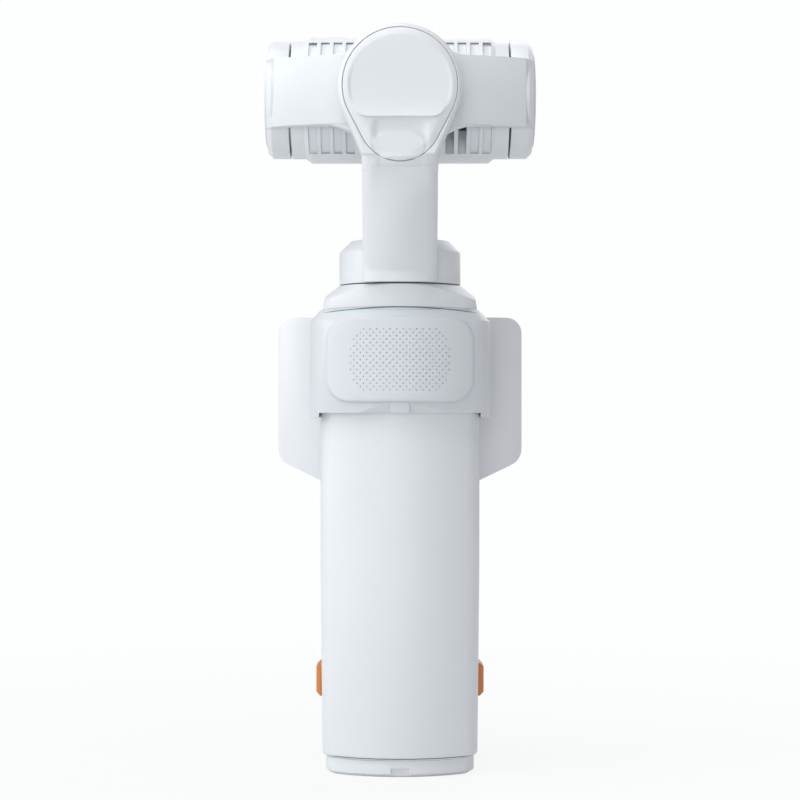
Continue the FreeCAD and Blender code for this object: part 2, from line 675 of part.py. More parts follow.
def make_base():
    cap = Piece("base_cap")
    cap.loft("XY", [("0", grip_outline("grip_foot_width", "base_foot_inset + base_foot_bevel")),
                    ("base_edge", grip_outline("grip_foot_width", "base_foot_inset"))])
    cap.pad("XY", "base_edge", "base_height", grip_outline("grip_foot_width", "base_foot_inset"))
    boss = "2 * (socket_radius + socket_wall + socket_boss_wall)"
    cap.pad("XY", "base_height", "socket_depth + 1", centred("0", "0", boss, boss))
    cap.pocket("XY", "0", "socket_depth",
               polygon("socket_radius + socket_wall + seat_clearance", INSERT_SIDES))
    cap.pocket("XY", "-1", "socket_depth + 2", centred("0", "port_offset", "port_width", "port_depth"))
    cap.pocket("XZ", "-grip_back * 2", "-grip_back + notch_depth",
               rectangle("-notch_width / 2", "notch_width / 2", "-1", "notch_height"))
    for side in ("-", ""):
        cap.pocket("XY", "-1", "base_height + 1",
                   polygon("base_screw_radius + seat_clearance", INSERT_SIDES, side + "base_screw_spread"))
    socket = Piece("tripod_socket")
    socket.pad("XY", "0", "socket_depth", polygon("socket_radius + socket_wall", INSERT_SIDES))
    socket.pocket("XY", "0", "socket_depth - socket_floor", circle("0", "0", "socket_radius"))
    port = Piece("data_port", y="port_offset")
    port.pad("XY", "port_sink", "port_height",
             centred("0", "0", "port_width - 2 * seat_clearance", "port_depth - 2 * seat_clearance"))
    port.pocket("XY", "port_sink", "port_height - port_wall * 2",
                centred("0", "0", "port_width - 2 * port_wall", "port_depth - 2 * port_wall"))
    port.pad("XY", "port_sink * 3", "port_height - port_wall",
             centred("0", "0", "port_width - port_depth", "port_tongue"))
    screws = Piece("base_screws")
    for side in ("-", ""):
        screws.pad("XY", "base_screw_sink", "base_height",
                   polygon("base_screw_radius", INSERT_SIDES, side + "base_screw_spread"))


# Inside the grip

def make_battery():
    cage = Piece("battery_cage")
    cage.pad("XY", BATTERY_START, BATTERY_END,
             centred("0", "0", "battery_width + 2 * cage_wall", "battery_depth"),
             centred("0", "0", "battery_width", "battery_depth - 2 * cage_wall"))
    cell = Piece("battery")
    cell.pad("XY", BATTERY_START, BATTERY_END,
             centred("0", "0", "battery_width - 2 * seat_clearance",
                     "battery_depth - 2 * cage_wall - 2 * seat_clearance"))


def make_grip_board():
    board = Piece("grip_board")
    board.pad("XZ", "board_place", "board_place + board_thickness",
              rectangle("-board_width / 2", "board_width / 2", RAIL_START + " - 2",
                        RAIL_START + " - 2 + board_height"))
    block = Piece("contact_block")
    block.pad("XZ", "board_place + board_thickness", "module_back",
              centred("0", CONTACT_HEIGHT, "contact_width", "contact_rise"))
    speaker = Piece("loudspeaker")
    speaker.pad("XZ", "-speaker_front", "-speaker_front + speaker_depth",
                centred("0", "cover_middle", "speaker_width", "speaker_height"))


# Side buttons, built on the right and mirrored

WALL_AT_BUTTON = ("(grip_foot_width + (grip_width - grip_foot_width) * (button_middle - base_height)"
                  " / (grip_waist_height - base_height)) / 2")
FLANGE_FACE = "(grip_neck_width / 2 - grip_wall - key_gap)"


def make_side_buttons():
    button = Piece("right_release_button")
    outer = "%s + button_proud" % WALL_AT_BUTTON
    button.pad("YZ", FLANGE_FACE + " - button_flange", outer,
               centred("button_offset", "button_middle", "button_depth", "button_height"))
    button.chamfer("button_bevel", flat_at("X", outer))
    button.pad("YZ", FLANGE_FACE + " - button_flange", FLANGE_FACE,
               centred("button_offset", "button_middle", "button_depth + 2 * button_flange",
                       "button_height + 2 * button_flange"))
    latch = Piece("right_latch")
    latch_outer = FLANGE_FACE + " - button_flange"
    latch_inner = latch_outer + " - latch_thickness"
    latch.pad("YZ", latch_inner, latch_outer,
              rectangle("button_offset - button_depth / 2", "grip_front - grip_wall - running_gap",
                        "button_middle - button_height / 4", "button_middle + button_height / 4"))
    spring = Piece("right_button_spring")
    spring.pad("YZ", latch_inner + " - spring_length", latch_inner,
               polygon("spring_radius", "hub_sides", "button_offset", "button_middle"))
    mirrored_piece("left_release_button", button)
    mirrored_piece("left_latch", latch)
    mirrored_piece("left_button_spring", spring)


# Band and perforated cover

BAND_TOP_INSET = "((grip_width - grip_neck_width) / 2 - seat_clearance * 3)"


def make_band():
    band = Piece("clip_band")
    low = "band_bottom - band_foot_height"
    foot = "(grip_width / 2 + seat_clearance * 6)"
    band.loft("XY", [(low, grip_outline("grip_width", "-band_thickness")),
                     ("seam_height - band_top_bevel", grip_outline("grip_width", "-band_thickness")),
                     (SEAM_AT_BACK, grip_outline("grip_width", BAND_TOP_INSET))])
    step = "band_bottom + grip_step"
    band.pocket("XY", low, step, grip_outline("grip_width", "-seat_clearance"))
    band.pocket("XY", step, SEAM_AT_BACK + " + 1", grip_outline("grip_neck_width", "-seat_clearance"))
    band.pocket("YZ", "-grip_width", "grip_width", beyond_seam(1))
    band.pocket("XY", low, SEAM_AT_BACK + " + 1",
                rectangle("-grip_width", "grip_width", "band_front", "grip_back * 2"))
    band.pocket("XZ", "0", "-grip_back * 2",
                rectangle("-" + foot, foot, low + " - 1", "band_bottom"))
    band.pocket("XZ", "0", "-grip_back * 2",
                centred("0", "cover_middle", "speaker_width + 2 * key_gap",
                        "speaker_height + 2 * key_gap"))
    face = "-(grip_back + band_thickness)"
    for side in ("-", ""):
        band.pocket("YZ", side + "band_tab_width / 2", side + "(grip_width / 2 - band_low_inset)", outline(
            (face + " - 1", "band_bottom - 1"), (face + " + band_low_bevel", "band_bottom - 1"),
            (face + " + band_low_bevel", "band_bottom"), (face, "band_bottom + band_low_rise"),
            (face + " - 1", "band_bottom + band_low_rise")))
    cover = Piece("perforated_cover")
    low_end = "cover_middle - cover_height / 2 - 1"
    high_end = "cover_middle + cover_height / 2 + 1"
    cover.pad("XY", low_end, high_end, grip_outline("grip_width", "-band_thickness - cover_proud"))
    cover.pocket("XY", low_end, high_end, grip_outline("grip_width", "-band_thickness"))
    cover.pocket("XZ", "-grip_back * 2", "grip_back * 2",
                 centred("0", "cover_middle", "grip_width * 2", "cover_height * 2"),
                 centred("0", "cover_middle", "cover_width", "cover_height", "cover_corner"))
    cover.pocket("XY", low_end, high_end,
                 rectangle("-grip_width", "grip_width", "0", "grip_back * 2"))


# Motors: each is drawn along its own axis and turned into place

PAN = {}
ROLL = {"z": "roll_axis_height", "turn": (VECTOR(1, 0, 0), 90)}
LEFT_TILT = {"z": "tilt_axis_height", "turn": (VECTOR(0, 1, 0), -90)}
MOTOR_BORE = polygon("motor_bore_radius", "magnet_count")
RING_OUTER = "motor_bore_radius - magnet_gap"
RING_INNER = "motor_bore_radius - magnet_gap - rotor_wall"


def make_rotor(label, start, end, axis):
    """A ring of flat magnets, side by side."""
    ring = Piece(label, **axis)
    ring.pad("XY", start, end, polygon(RING_OUTER, "magnet_count"), polygon(RING_INNER, "magnet_count"))


def make_stator(label, start, end, axis):
    stator = Piece(label, **axis)
    stator.pad("XY", start, end, polygon("stator_core_radius", "stator_teeth"),
               polygon("hub_radius + seat_clearance", "hub_sides"))
    tooth = stator.pad("XY", start, end,
                       rectangle("stator_core_radius - tooth_width / 2", RING_INNER + " - magnet_gap",
                                 "-tooth_width / 2", "tooth_width / 2"))
    stator.ring(tooth, "stator_teeth")


def make_bearings(label, spans_along, axis):
    """Bearing cartridges, with flats outside that keep them from turning in their hubs."""
    bearings = Piece(label, **axis)
    for start, end in spans_along:
        bearings.pad("XY", start, end, polygon("bearing_radius", "hub_sides"),
                     circle("0", "0", "shaft_radius + shaft_clearance"))


def bearing_seat(height="0"):
    return polygon("bearing_radius + seat_clearance", "hub_sides", "0", height)


def make_shaft(label, start, end, axis):
    shaft = Piece(label, **axis)
    shaft.pad("XY", start, end, circle("0", "0", "shaft_radius"))


# Pan joint

PAN_HUB_LOW = "seam_height + seam_rise"
PAN_HUB_HIGH = "drum_top - drum_roof - running_gap * 2"


def make_collar():
    collar = Piece("pan_collar")
    collar.pad("XY", "seam_height - seam_rise * 3", "collar_top", grip_outline("grip_neck_width"))
    collar.pad("XY", "seam_height + seam_rise", "collar_top", circle("0", "0", "collar_top_radius"))
    run = "(collar_width / 2 - collar_top_radius)"
    fall = "(collar_top - collar_bevel_height)"
    for side in ("-", ""):
        collar.pocket("XZ", "-grip_width", "grip_width", outline(
            (side + "grip_neck_width / 2", "seam_height"), (side + "grip_width", "seam_height"),
            (side + "grip_width", "collar_top + 1"), (side + "collar_width / 2", "collar_top + 1"),
            (side + "collar_width / 2", "collar_bevel_height")))
    collar.groove("XZ", "V_Axis", outline(
        ("collar_top_radius", "collar_top"),
        ("collar_top_radius + 2 * " + run, "collar_top - 2 * " + fall),
        ("collar_top_radius + 2 * " + run, "collar_top + 1"),
        ("collar_top_radius", "collar_top + 1")))
    collar.pocket("YZ", "-grip_width", "grip_width", beyond_seam(-1))
    room = "2 * (grip_front - collar_wall)"
    collar.pocket("XY", "0", "collar_top - collar_wall", centred("0", "0", room, room))
    collar.pad("XY", PAN_HUB_LOW, PAN_HUB_HIGH, polygon("hub_radius", "hub_sides"))
    collar.pocket("XY", PAN_HUB_LOW, PAN_HUB_HIGH, bearing_seat())
    make_stator("pan_stator", "collar_top + running_gap * 4", PAN_HUB_HIGH + " - running_gap", PAN)
    make_bearings("pan_bearings", ((PAN_HUB_LOW, PAN_HUB_HIGH),), PAN)
    make_rotor("pan_rotor", "collar_top + running_gap * 3", "drum_top - drum_roof", PAN)
    make_shaft("pan_shaft", PAN_HUB_LOW, "drum_top - drum_roof / 2", PAN)


# Arm and roll motor

def drop_shape(radius, drop, foot_radius, inset="0"):
    """A round outline about the roll axis that narrows to a smaller round foot below."""
    big = "(%s - %s)" % (radius, inset)
    small = "(%s - %s)" % (foot_radius, inset)
    fall = "(%s - %s)" % (drop, foot_radius)
    lean = "((%s - %s) / %s)" % (radius, foot_radius, fall)
    level = "sqrt(1 - %s ^ 2)" % lean
    big_x, big_z = "%s * %s" % (big, level), "%s * %s" % (big, lean)
    small_x, small_z = "%s * %s" % (small, level), "(%s + %s * %s)" % (fall, small, lean)
    return outline((big_x, "-" + big_z, "arc", big), ("0", big, "arc", big),
                   ("-" + big_x, "-" + big_z), ("-" + small_x, "-" + small_z, "arc", small),
                   (small_x, "-" + small_z))


def housing_shape():
    """The roll housing's outline: round, with flanks that run down to the sides of the arm."""
    half = "(arm_width / 2)"
    fall = "(roll_axis_height - arm_top_knee)"
    square = "(%s ^ 2 + %s ^ 2)" % (half, fall)
    along = "(housing_radius ^ 2 / %s)" % square
    across = "(housing_radius * sqrt(%s - housing_radius ^ 2) / %s)" % (square, square)
    touch_x = "(%s * %s + %s * %s)" % (along, half, across, fall)
    touch_z = "(%s * %s - %s * %s)" % (across, half, along, fall)
    return outline((half, "-" + fall), (touch_x, touch_z, "arc", "housing_radius"),
                   ("0", "housing_radius", "arc", "housing_radius"), ("-" + touch_x, touch_z),
                   ("-" + half, "-" + fall))


def slope(height, low, high, start, end):
    """The reach of a face at a height: start below its low bend, end above its high bend."""
    share = (height - number(low)) / (number(high) - number(low))
    return number(start) + (number(end) - number(start)) * min(max(share, 0), 1)


def make_arm():
    arm = Piece("pan_arm")
    foot_inner = "(motor_bore_radius + seat_clearance * 20)"
    drum_start = "(collar_top + running_gap)"
    profile = outline(
        ("-arm_foot_reach", drum_start), ("-" + foot_inner, drum_start),
        ("-" + foot_inner, "drum_top - drum_bevel"),
        ("-housing_front", "arm_inner_knee", "round", "knee_radius"),
        ("-housing_front", "roll_axis_height"), ("-housing_back", "roll_axis_height"),
        ("-housing_back", "arm_top_knee", "round", "knee_radius"),
        ("-arm_foot_reach", "arm_foot_knee", "round", "knee_radius / 4"))
    arm.pad("YZ", "-arm_width / 2", "arm_width / 2", profile)

    def outer_edge(edge):
        low, high = spans(edge)
        beside = near(low[0], "arm_width / 2") or near(high[0], "-arm_width / 2")
        if not beside or high[0] - low[0] > TINY or high[2] - low[2] < TINY:
            return False
        height = (low[2] + high[2]) / 2
        reach = -(low[1] + high[1]) / 2
        outer = slope(height, "arm_foot_knee", "arm_top_knee", "arm_foot_reach", "housing_back")
        inner = slope(height, "drum_top - drum_bevel", "arm_inner_knee", foot_inner, "housing_front")
        return abs(reach - outer) < abs(reach - inner)
    arm.chamfer("arm_bevel", outer_edge)
    arm.revolve("XZ", "V_Axis", outline(
        ("0", drum_start), ("drum_radius", drum_start), ("drum_radius", "drum_top - drum_bevel"),
        ("drum_radius - drum_bevel", "drum_top"), ("0", "drum_top")))
    arm.pocket("XY", drum_start, "drum_top - drum_roof", MOTOR_BORE)
    arm.pocket("XY", "drum_top - drum_roof", "drum_top - drum_roof / 2",
               circle("0", "0", "shaft_radius + seat_clearance"))
    return arm


RECESS_FLOOR = "(housing_back - cover_recess)"
WEB_FACE = "(%s - housing_web)" % RECESS_FLOOR
BOSS_FACE = "(housing_front - running_gap)"


def make_roll_housing(arm):
    """The round housing at the top of the arm, with the motor bore inside and the cover's recess."""
    axis_shift = "roll_axis_height"
    arm.pad("XZ", "-housing_front", "-housing_back", raised(housing_shape(), axis_shift))
    rim = flat_at("Y", "-housing_back")
    arm.chamfer("housing_edge", lambda edge: rim(edge) and edge.BoundBox.ZMin > number("arm_top_knee") + 1)
    arm.pocket("XZ", "-housing_front + 1", "-" + WEB_FACE, raised(MOTOR_BORE, axis_shift))
    arm.pocket("XZ", "-housing_back - 1", "-" + RECESS_FLOOR, raised(TEARDROP, axis_shift))
    arm.pad("XZ", "-" + WEB_FACE, "-housing_front - running_gap",
            polygon("hub_radius", "hub_sides", "0", axis_shift))
    arm.pocket("XZ", "-housing_front - running_gap", "-" + RECESS_FLOOR, bearing_seat(axis_shift))
    start = "housing_front + running_gap"
    make_stator("roll_stator", start + " * 2", WEB_FACE, ROLL)
    make_bearings("roll_bearings", ((start, RECESS_FLOOR),), ROLL)
    make_rotor("roll_rotor", BOSS_FACE, WEB_FACE + " - running_gap", ROLL)
    make_shaft("roll_shaft", BOSS_FACE + " - shaft_seat", RECESS_FLOOR + " - running_gap", ROLL)


def make_arm_cover():
    board = Piece("motor_board", z="roll_axis_height")
    board.pad("XZ", "-" + RECESS_FLOOR, "-%s - board_thickness / 2" % RECESS_FLOOR,
              polygon("teardrop_radius - motor_board_margin", "hub_sides"))
    cover = Piece("arm_cover", z="roll_axis_height")
    face = "-housing_back"
    cover.pad("XZ", face + " + teardrop_plate", face,
              drop_shape("teardrop_radius", "teardrop_drop", "teardrop_foot_radius", "cover_seam"))
    sunk = face + " + scoop_depth"
    cover.pocket("XZ", face, sunk, disc_shape())
    cover.pad("YZ", "-disc_radius", "disc_radius", outline(
        (face + " - disc_proud", "-disc_chord_drop"), (sunk, "-disc_chord_drop"),
        (sunk, "lip_rise - disc_chord_drop", "dip", "scoop_radius")))
    cover.pocket("XZ", face + " - disc_proud * 2", face, circle("0", "0", "disc_radius * 2"),
                 disc_shape())
    cover.pad("XZ", face, face + " - lobe_proud",
              centred("0", "lobe_height / 2 - teardrop_drop + lobe_margin", "lobe_width", "lobe_height",
                      "lobe_height / 2 - seat_clearance"))


def disc_shape():
    """The disc on the teardrop cover: round, with a straight lower edge and rounded corners."""
    inner = "(disc_radius - disc_corner)"
    corner_x = "sqrt(%s ^ 2 - (disc_chord_drop - disc_corner) ^ 2)" % inner
    touch_x = "%s * disc_radius / %s" % (corner_x, inner)
    touch_z = "(disc_chord_drop - disc_corner) * disc_radius / %s" % inner
    return outline(
        (touch_x, "-" + touch_z, "arc", "disc_radius"), ("0", "disc_radius", "arc", "disc_radius"),
        ("-" + touch_x, "-" + touch_z, "arc", "disc_corner"),
        ("-" + corner_x, "-disc_chord_drop"), (corner_x, "-disc_chord_drop", "arc", "disc_corner"))


# Yoke

CHEEK_FACE = "(head_half_length + head_clearance)"
YOKE_END = "(%s + cheek_thickness)" % CHEEK_FACE
MOTOR_FLOOR = "(%s - cheek_wall)" % YOKE_END


def make_yoke():
    yoke = Piece("yoke", z="tilt_axis_height")
    bow = "yoke_bow_radius"
    bend = "(%s - yoke_end_bevel)" % YOKE_END
    plan = outline(
        ("-" + YOKE_END, "-yoke_end_reach"), ("-" + bend, "-yoke_bend_reach", "arc", bow),
        ("0", "-yoke_apex", "arc", bow), (bend, "-yoke_bend_reach"),
        (YOKE_END, "-yoke_end_reach"), (YOKE_END, "0"), ("-" + YOKE_END, "0"))
    yoke.pad("XY", "-yoke_bar_height / 2", "yoke_bar_height / 2", plan)
    cheek = yoke.revolve("XY", "H_Axis", outline(
        (CHEEK_FACE, "0"), (YOKE_END, "0"), (YOKE_END, "cheek_radius - cheek_edge"),
        (YOKE_END + " - cheek_edge", "cheek_radius"), (CHEEK_FACE, "cheek_radius")))
    yoke.mirror([cheek])
    shift = "(roll_axis_height - tilt_axis_height)"
    yoke.pad("XZ", "-head_radius - head_clearance", "-" + BOSS_FACE,
             polygon("boss_radius", "round_sides", "0", shift))
    clear = "head_clearance"
    ramp = "(head_half_length - ring_length)"
    yoke.groove("XY", "H_Axis", outline(
        ("-" + CHEEK_FACE, "0"), (CHEEK_FACE, "0"), (CHEEK_FACE, "ring_radius + " + clear),
        (ramp + " + " + clear, "ring_radius + " + clear),
        (ramp + " + " + clear, "head_radius + " + clear),
        ("-%s - %s" % (ramp, clear), "head_radius + " + clear),
        ("-%s - %s" % (ramp, clear), "ring_radius + " + clear),
        ("-" + CHEEK_FACE, "ring_radius + " + clear)))
    yoke.pocket("YZ", "-" + CHEEK_FACE, "-" + MOTOR_FLOOR, MOTOR_BORE)
    yoke.pad("YZ", "-" + MOTOR_FLOOR, "-%s - running_gap * 2" % CHEEK_FACE,
             polygon("hub_radius", "hub_sides"))
    for side in ("-", ""):
        yoke.pocket("YZ", side + CHEEK_FACE, side + MOTOR_FLOOR, bearing_seat())
    yoke.pocket("XZ", "-" + BOSS_FACE, "-%s + shaft_seat" % BOSS_FACE,
                circle("0", shift, "shaft_radius + seat_clearance"))
    cover = Piece("right_cheek_cover", z="tilt_axis_height")
    cover.pad("YZ", YOKE_END, YOKE_END + " + cheek_cover_proud",
              polygon("cheek_cover_radius", "round_sides"))
    mirrored_piece("left_cheek_cover", cover)
    inner = "(%s + running_gap * 2)" % CHEEK_FACE
    make_stator("tilt_stator", inner + " + running_gap", MOTOR_FLOOR, LEFT_TILT)
    make_bearings("tilt_bearings", ((inner, inner + " + bearing_width"),
                                    ("-%s - bearing_width" % inner, "-" + inner)), LEFT_TILT)
    make_rotor("tilt_rotor", "head_half_length", MOTOR_FLOOR + " - running_gap", LEFT_TILT)
    make_shaft("tilt_shaft", "head_half_length - end_plate", MOTOR_FLOOR + " - running_gap", LEFT_TILT)


# Camera head, about the tilt axis

def make_barrel():
    barrel = Piece("camera_barrel", z="tilt_axis_height")
    length, ring, full = "head_half_length", "ring_radius", "head_radius"
    plain = "(head_half_length - ring_length)"
    barrel.revolve("XY", "H_Axis", outline(
        ("-" + length, "0"), (length, "0"), (length, ring), (plain, ring),
        (plain + " - ramp_length", full), ("-%s + ramp_length" % plain, full), ("-" + plain, ring),
        ("-" + length, ring)))
    barrel.pocket("YZ", "-" + length, length,
                  rectangle("-room_back", "room_front", "-room_half", "room_half"))
    barrel.pocket("XZ", "room_front / 2", "head_radius * 2",
                  centred("0", "0", "face_width", "face_height", "face_corner"))
    span = "(vent_count - 1) * vent_pitch"
    for first in ("-vent_outer", "vent_outer - " + span):
        slot = barrel.pocket("XZ", "-head_radius * 2", "-vent_floor",
                             centred(first, "-vent_drop", "vent_width", "vent_height"))
        barrel.row(slot, "H_Axis", span, "vent_count")
    ends = "head_half_length - end_plate"
    plate = rectangle("-room_back + seat_clearance", "room_front - seat_clearance",
                      "-room_half + seat_clearance", "room_half - seat_clearance")
    left = Piece("left_end_plate", z="tilt_axis_height")
    left.pad("YZ", "-head_half_length", "-(%s)" % ends, plate,
             circle("0", "0", "shaft_radius + seat_clearance"))
    right = Piece("right_end_plate", z="tilt_axis_height")
    right.pad("YZ", ends, "head_half_length", plate)
    right.pad("YZ", "head_half_length", MOTOR_FLOOR + " - running_gap", circle("0", "0", "shaft_radius"))


def make_face():
    face = Piece("face_plate", z="tilt_axis_height")
    face.pad("XZ", "face_reach - face_plate", "face_reach",
             centred("0", "0", "face_width - 2 * seat_clearance", "face_height - 2 * seat_clearance",
                     "face_corner"),
             circle("-main_lens_offset", "0", "main_lens_radius + seat_clearance"),
             circle("second_lens_offset", "0", "second_lens_radius + seat_clearance"))
    for name, place, radius in (("main", "-main_lens_offset", "main_lens_radius"),
                                ("second", "second_lens_offset", "second_lens_radius")):
        lens = Piece(name + "_lens", x=place, z="tilt_axis_height", turn=FORWARD)
        tip = "face_reach + lens_proud"
        inner = radius + " - lens_ring_width"
        seat = tip + " - glass_setback - lens_glass"
        lens.revolve("XZ", "V_Axis", outline(
            ("0", "lens_back"), (radius, "lens_back"), (radius, tip), (inner, tip),
            (inner, seat + " - lens_well"), ("0", seat + " - lens_well")))
        glass = Piece(name + "_lens_glass", x=place, z="tilt_axis_height", turn=FORWARD)
        glass.pad("XY", seat, tip + " - glass_setback", circle("0", "0", inner + " - seat_clearance"))
    sensor = Piece("sensor_board", z="tilt_axis_height")
    sensor.pad("XZ", "lens_back - board_thickness", "lens_back",
               centred("0", "0", "sensor_width", "sensor_height"))
    sink = Piece("heat_sink", z="tilt_axis_height")
    base = "lens_back - board_thickness"
    sink.pad("XZ", base + " - board_thickness", base, centred("0", "0", "sink_width", "sink_height"))
    fin = sink.pad("XZ", base + " - board_thickness - fin_depth", base + " - board_thickness",
                   centred("(fin_thickness - sink_width) / 2", "0", "fin_thickness", "sink_height"))
    sink.row(fin, "H_Axis", "sink_width - fin_thickness", "fin_count")


FORWARD = (VECTOR(1, 0, 0), -90)


# Screen module

def module_outline(inset="0", rounded=True):
    """The screen with its cut lower corners, and the stem below it."""
    wide, slim = "(screen_half_width - %s)" % inset, "(stem_half_width - %s)" % inset
    low, high = "stem_bottom + " + inset, "screen_top - " + inset
    side, neck = "screen_side_bottom + " + inset, "stem_top + " + inset
    above, below = ("round", "screen_top_corner"), ("round", "screen_low_corner")
    upper = [(wide, side, *below), (wide, high, *above), ("-" + wide, high, *above),
             ("-" + wide, side, *below)]
    if not rounded:
        upper = [corner[:2] for corner in upper]
    return outline(("-" + slim, low, "round", "stem_corner"), (slim, low, "round", "stem_corner"),
                   (slim, neck), *upper, ("-" + slim, neck))


def make_module():
    shell = Piece("module_back_shell")
    shell.pad("XZ", "module_back", "module_split", module_outline())
    ear = shell.pocket("XY", "stem_top - 10", "screen_top + 1", outline(
        ("ear_start", "module_back - 1"), ("screen_half_width + 1", "module_back - 1"),
        ("screen_half_width + 1", "module_split - ear_edge"),
        ("screen_half_width", "module_split - ear_edge", "dip", "ear_back_radius"),
        ("ear_start", "module_back")))
    shell.mirror([ear])
    room = "stem_half_width - module_wall"
    shell.pocket("XZ", "module_split", "module_back + module_wall",
                 rectangle("-(%s)" % room, room, "stem_bottom + module_wall", "screen_top - module_wall * 2",
                           "stem_corner - module_wall"))
    for sign in ("-", ""):
        shell.pad("XZ", "module_back", "module_back - lug_reach",
                  centred(sign + "(lug_inner + lug_thickness / 2)", "button_middle", "lug_thickness",
                          "button_height"))
    bezel = Piece("module_bezel")
    bezel.pad("XZ", "module_split", "module_front", module_outline())
    front = flat_at("Y", "module_front")
    bezel.chamfer("module_edge", front)
    inner_face = "module_front - bezel_floor"
    bezel.pocket("XZ", "module_split", inner_face, module_outline("module_wall", False))
    bezel.pocket("XZ", "module_front", "module_front - glass_thickness",
                 centred("0", "glass_middle", "glass_width", "glass_height", "glass_corner"))
    bezel.pocket("XZ", "module_front - glass_thickness", inner_face + " - 1",
                 centred("0", "glass_middle", "glass_width - 2 * display_margin",
                         "glass_height - 2 * display_margin"))
    key_hole = ("key_width + 2 * key_gap", "key_tall + 2 * key_gap")
    bezel.pocket("XZ", "module_front", inner_face + " - 1", circle("0", "stick_height", "stick_hole_radius"),
                 circle("0", RECORD_HEIGHT, "record_radius + key_gap"),
                 centred("-key_spread", KEY_HEIGHT, *key_hole), centred("key_spread", KEY_HEIGHT, *key_hole))
    bezel.pocket("YZ", "screen_half_width + 1", "screen_half_width - slot_depth",
                 centred("module_split + slot_width", "slot_height", "slot_width", "slot_length"))
    glass = Piece("screen_glass")
    glass.pad("XZ", "module_front - glass_thickness", "module_front",
              centred("0", "glass_middle", "glass_width - 2 * seat_clearance",
                      "glass_height - 2 * seat_clearance", "glass_corner"))
    display = Piece("display_panel")
    display.pad("XZ", "module_front - glass_thickness - display_thickness", "module_front - glass_thickness",
                centred("0", "glass_middle", "glass_width - 2 * display_margin - 2 * seat_clearance",
                        "glass_height - 2 * display_margin - 2 * seat_clearance"))
    battery = Piece("module_battery")
    battery.pad("XZ", "module_back + module_wall", "module_split - 0.2",
                centred("0", "glass_middle", "(%s) * 2 - 2" % room, "glass_height - 4"))
    board = Piece("module_board")
    board.pad("XZ", KEY_BOARD + " - board_thickness", KEY_BOARD,
              rectangle("-(%s) + 0.5" % room, room + " - 0.5", "stem_bottom + stem_corner", "stem_top"))
    for place in ("stem_bottom + stem_corner * 2", "stem_top - 3"):
        shell.pad("XZ", "module_back + module_wall", KEY_BOARD + " - board_thickness",
                  centred("0", place, "room_rib", "2"))


RECORD_HEIGHT = "(stick_height - record_drop)"
KEY_HEIGHT = "(%s - key_drop)" % RECORD_HEIGHT
KEY_BOARD = "(module_front - bezel_floor - key_flange - key_switch)"


def make_keys():
    under = "module_front - bezel_floor - seat_clearance"
    low = under + " - key_flange"
    switches = Piece("key_switches")
    record = Piece("record_button", z=RECORD_HEIGHT)
    record.pad("XZ", low, "module_front + record_rise", circle("0", "0", "record_radius"))
    record.pad("XZ", low, under, centred("0", "0", "2 * (record_radius + key_flange)", "tab_width"))
    for name, x in (("function_button", "-key_spread"), ("power_button", "key_spread")):
        key = Piece(name, x=x, z=KEY_HEIGHT)
        key.pad("XZ", low, under,
                centred("0", "0", "key_width + 2 * key_flange", "key_tall + 2 * key_flange"))
        key.pad("XZ", under, "module_front + key_rise", centred("0", "0", "key_width", "key_tall"))
        key.chamfer("key_bevel", flat_at("Y", "module_front + key_rise"))
    for x, z in (("0", RECORD_HEIGHT), ("-key_spread", KEY_HEIGHT), ("key_spread", KEY_HEIGHT)):
        switches.pad("XZ", KEY_BOARD, low + " - key_travel - seat_clearance",
                     centred(x, z, "key_switch_width", "key_switch_width"))


def make_stick():
    """A thumb stick: the cap's stem turns in a cradle, which turns in a fixed socket."""
    half = "cradle_height / 2"
    pin = circle("0", "0", "pin_radius")
    bore = polygon("(pin_radius + shaft_clearance) / cos(180 / hub_sides)", "hub_sides")
    socket = Piece("stick_socket", y="stick_pivot_reach", z="stick_height")
    room = "cradle_width + 2 * key_gap"
    width = room + " + 2 * stick_socket_wall"
    socket.pad("XZ", "%s - stick_pivot_reach" % KEY_BOARD, half + " + cradle_height / 4",
               centred("0", "0", width, width), centred("0", "0", room, room))
    socket.pocket("YZ", "-cradle_width", "cradle_width", bore)
    cradle = Piece("stick_cradle", y="stick_pivot_reach", z="stick_height")
    hole = "cradle_width - 2 * cradle_wall"
    cradle.pad("XZ", "-" + half, half, centred("0", "0", "cradle_width", "cradle_width"),
               centred("0", "0", hole, hole))
    for sign in ("-", ""):
        cradle.pad("YZ", sign + "(cradle_width - cradle_wall) / 2",
                   sign + "(cradle_width / 2 + key_gap + stick_socket_wall)", pin)
    cradle.pocket("XY", "-cradle_width", "cradle_width", bore)
    low = "module_front + stick_lift - stick_pivot_reach"
    high = "module_front + stick_rise - stick_pivot_reach"
    stick = Piece("thumb_stick", y="stick_pivot_reach", z="stick_height", turn=FORWARD)
    stick.pad("XY", "-" + half, low, centred("0", "0", "stick_stem_width", "stick_stem_width"))
    stick.pad("XY", low, high, circle("0", "0", "stick_radius"))
    pin_end = "(cradle_width / 2 - seat_clearance)"
    stick.pad("XZ", "-" + pin_end, pin_end, pin)


def write_parts():
    """Check every object and write each sub-part to its own file."""
    document.recompute()
    for thing in document.Objects:
        if "Invalid" in thing.State or "Error" in thing.State:
            raise ValueError("%s is not sound: %s" % (thing.Name, thing.State))
    os.makedirs("parts", exist_ok=True)
    for label, thing in pieces:
        shape = thing.Shape
        if shape.isNull() or not shape.isValid() or not shape.Solids:
            raise ValueError(label + " has no sound solid")
    for label, thing in pieces:
        thing.Shape.exportStep("parts/%s.step" % label)


TEARDROP = drop_shape("teardrop_radius", "teardrop_drop", "teardrop_foot_radius")

make_grip()
make_base()
make_battery()
make_grip_board()
make_side_buttons()
make_band()
make_collar()
make_roll_housing(make_arm())
make_arm_cover()
make_yoke()
make_barrel()
make_face()
make_module()
make_keys()
make_stick()
write_parts()
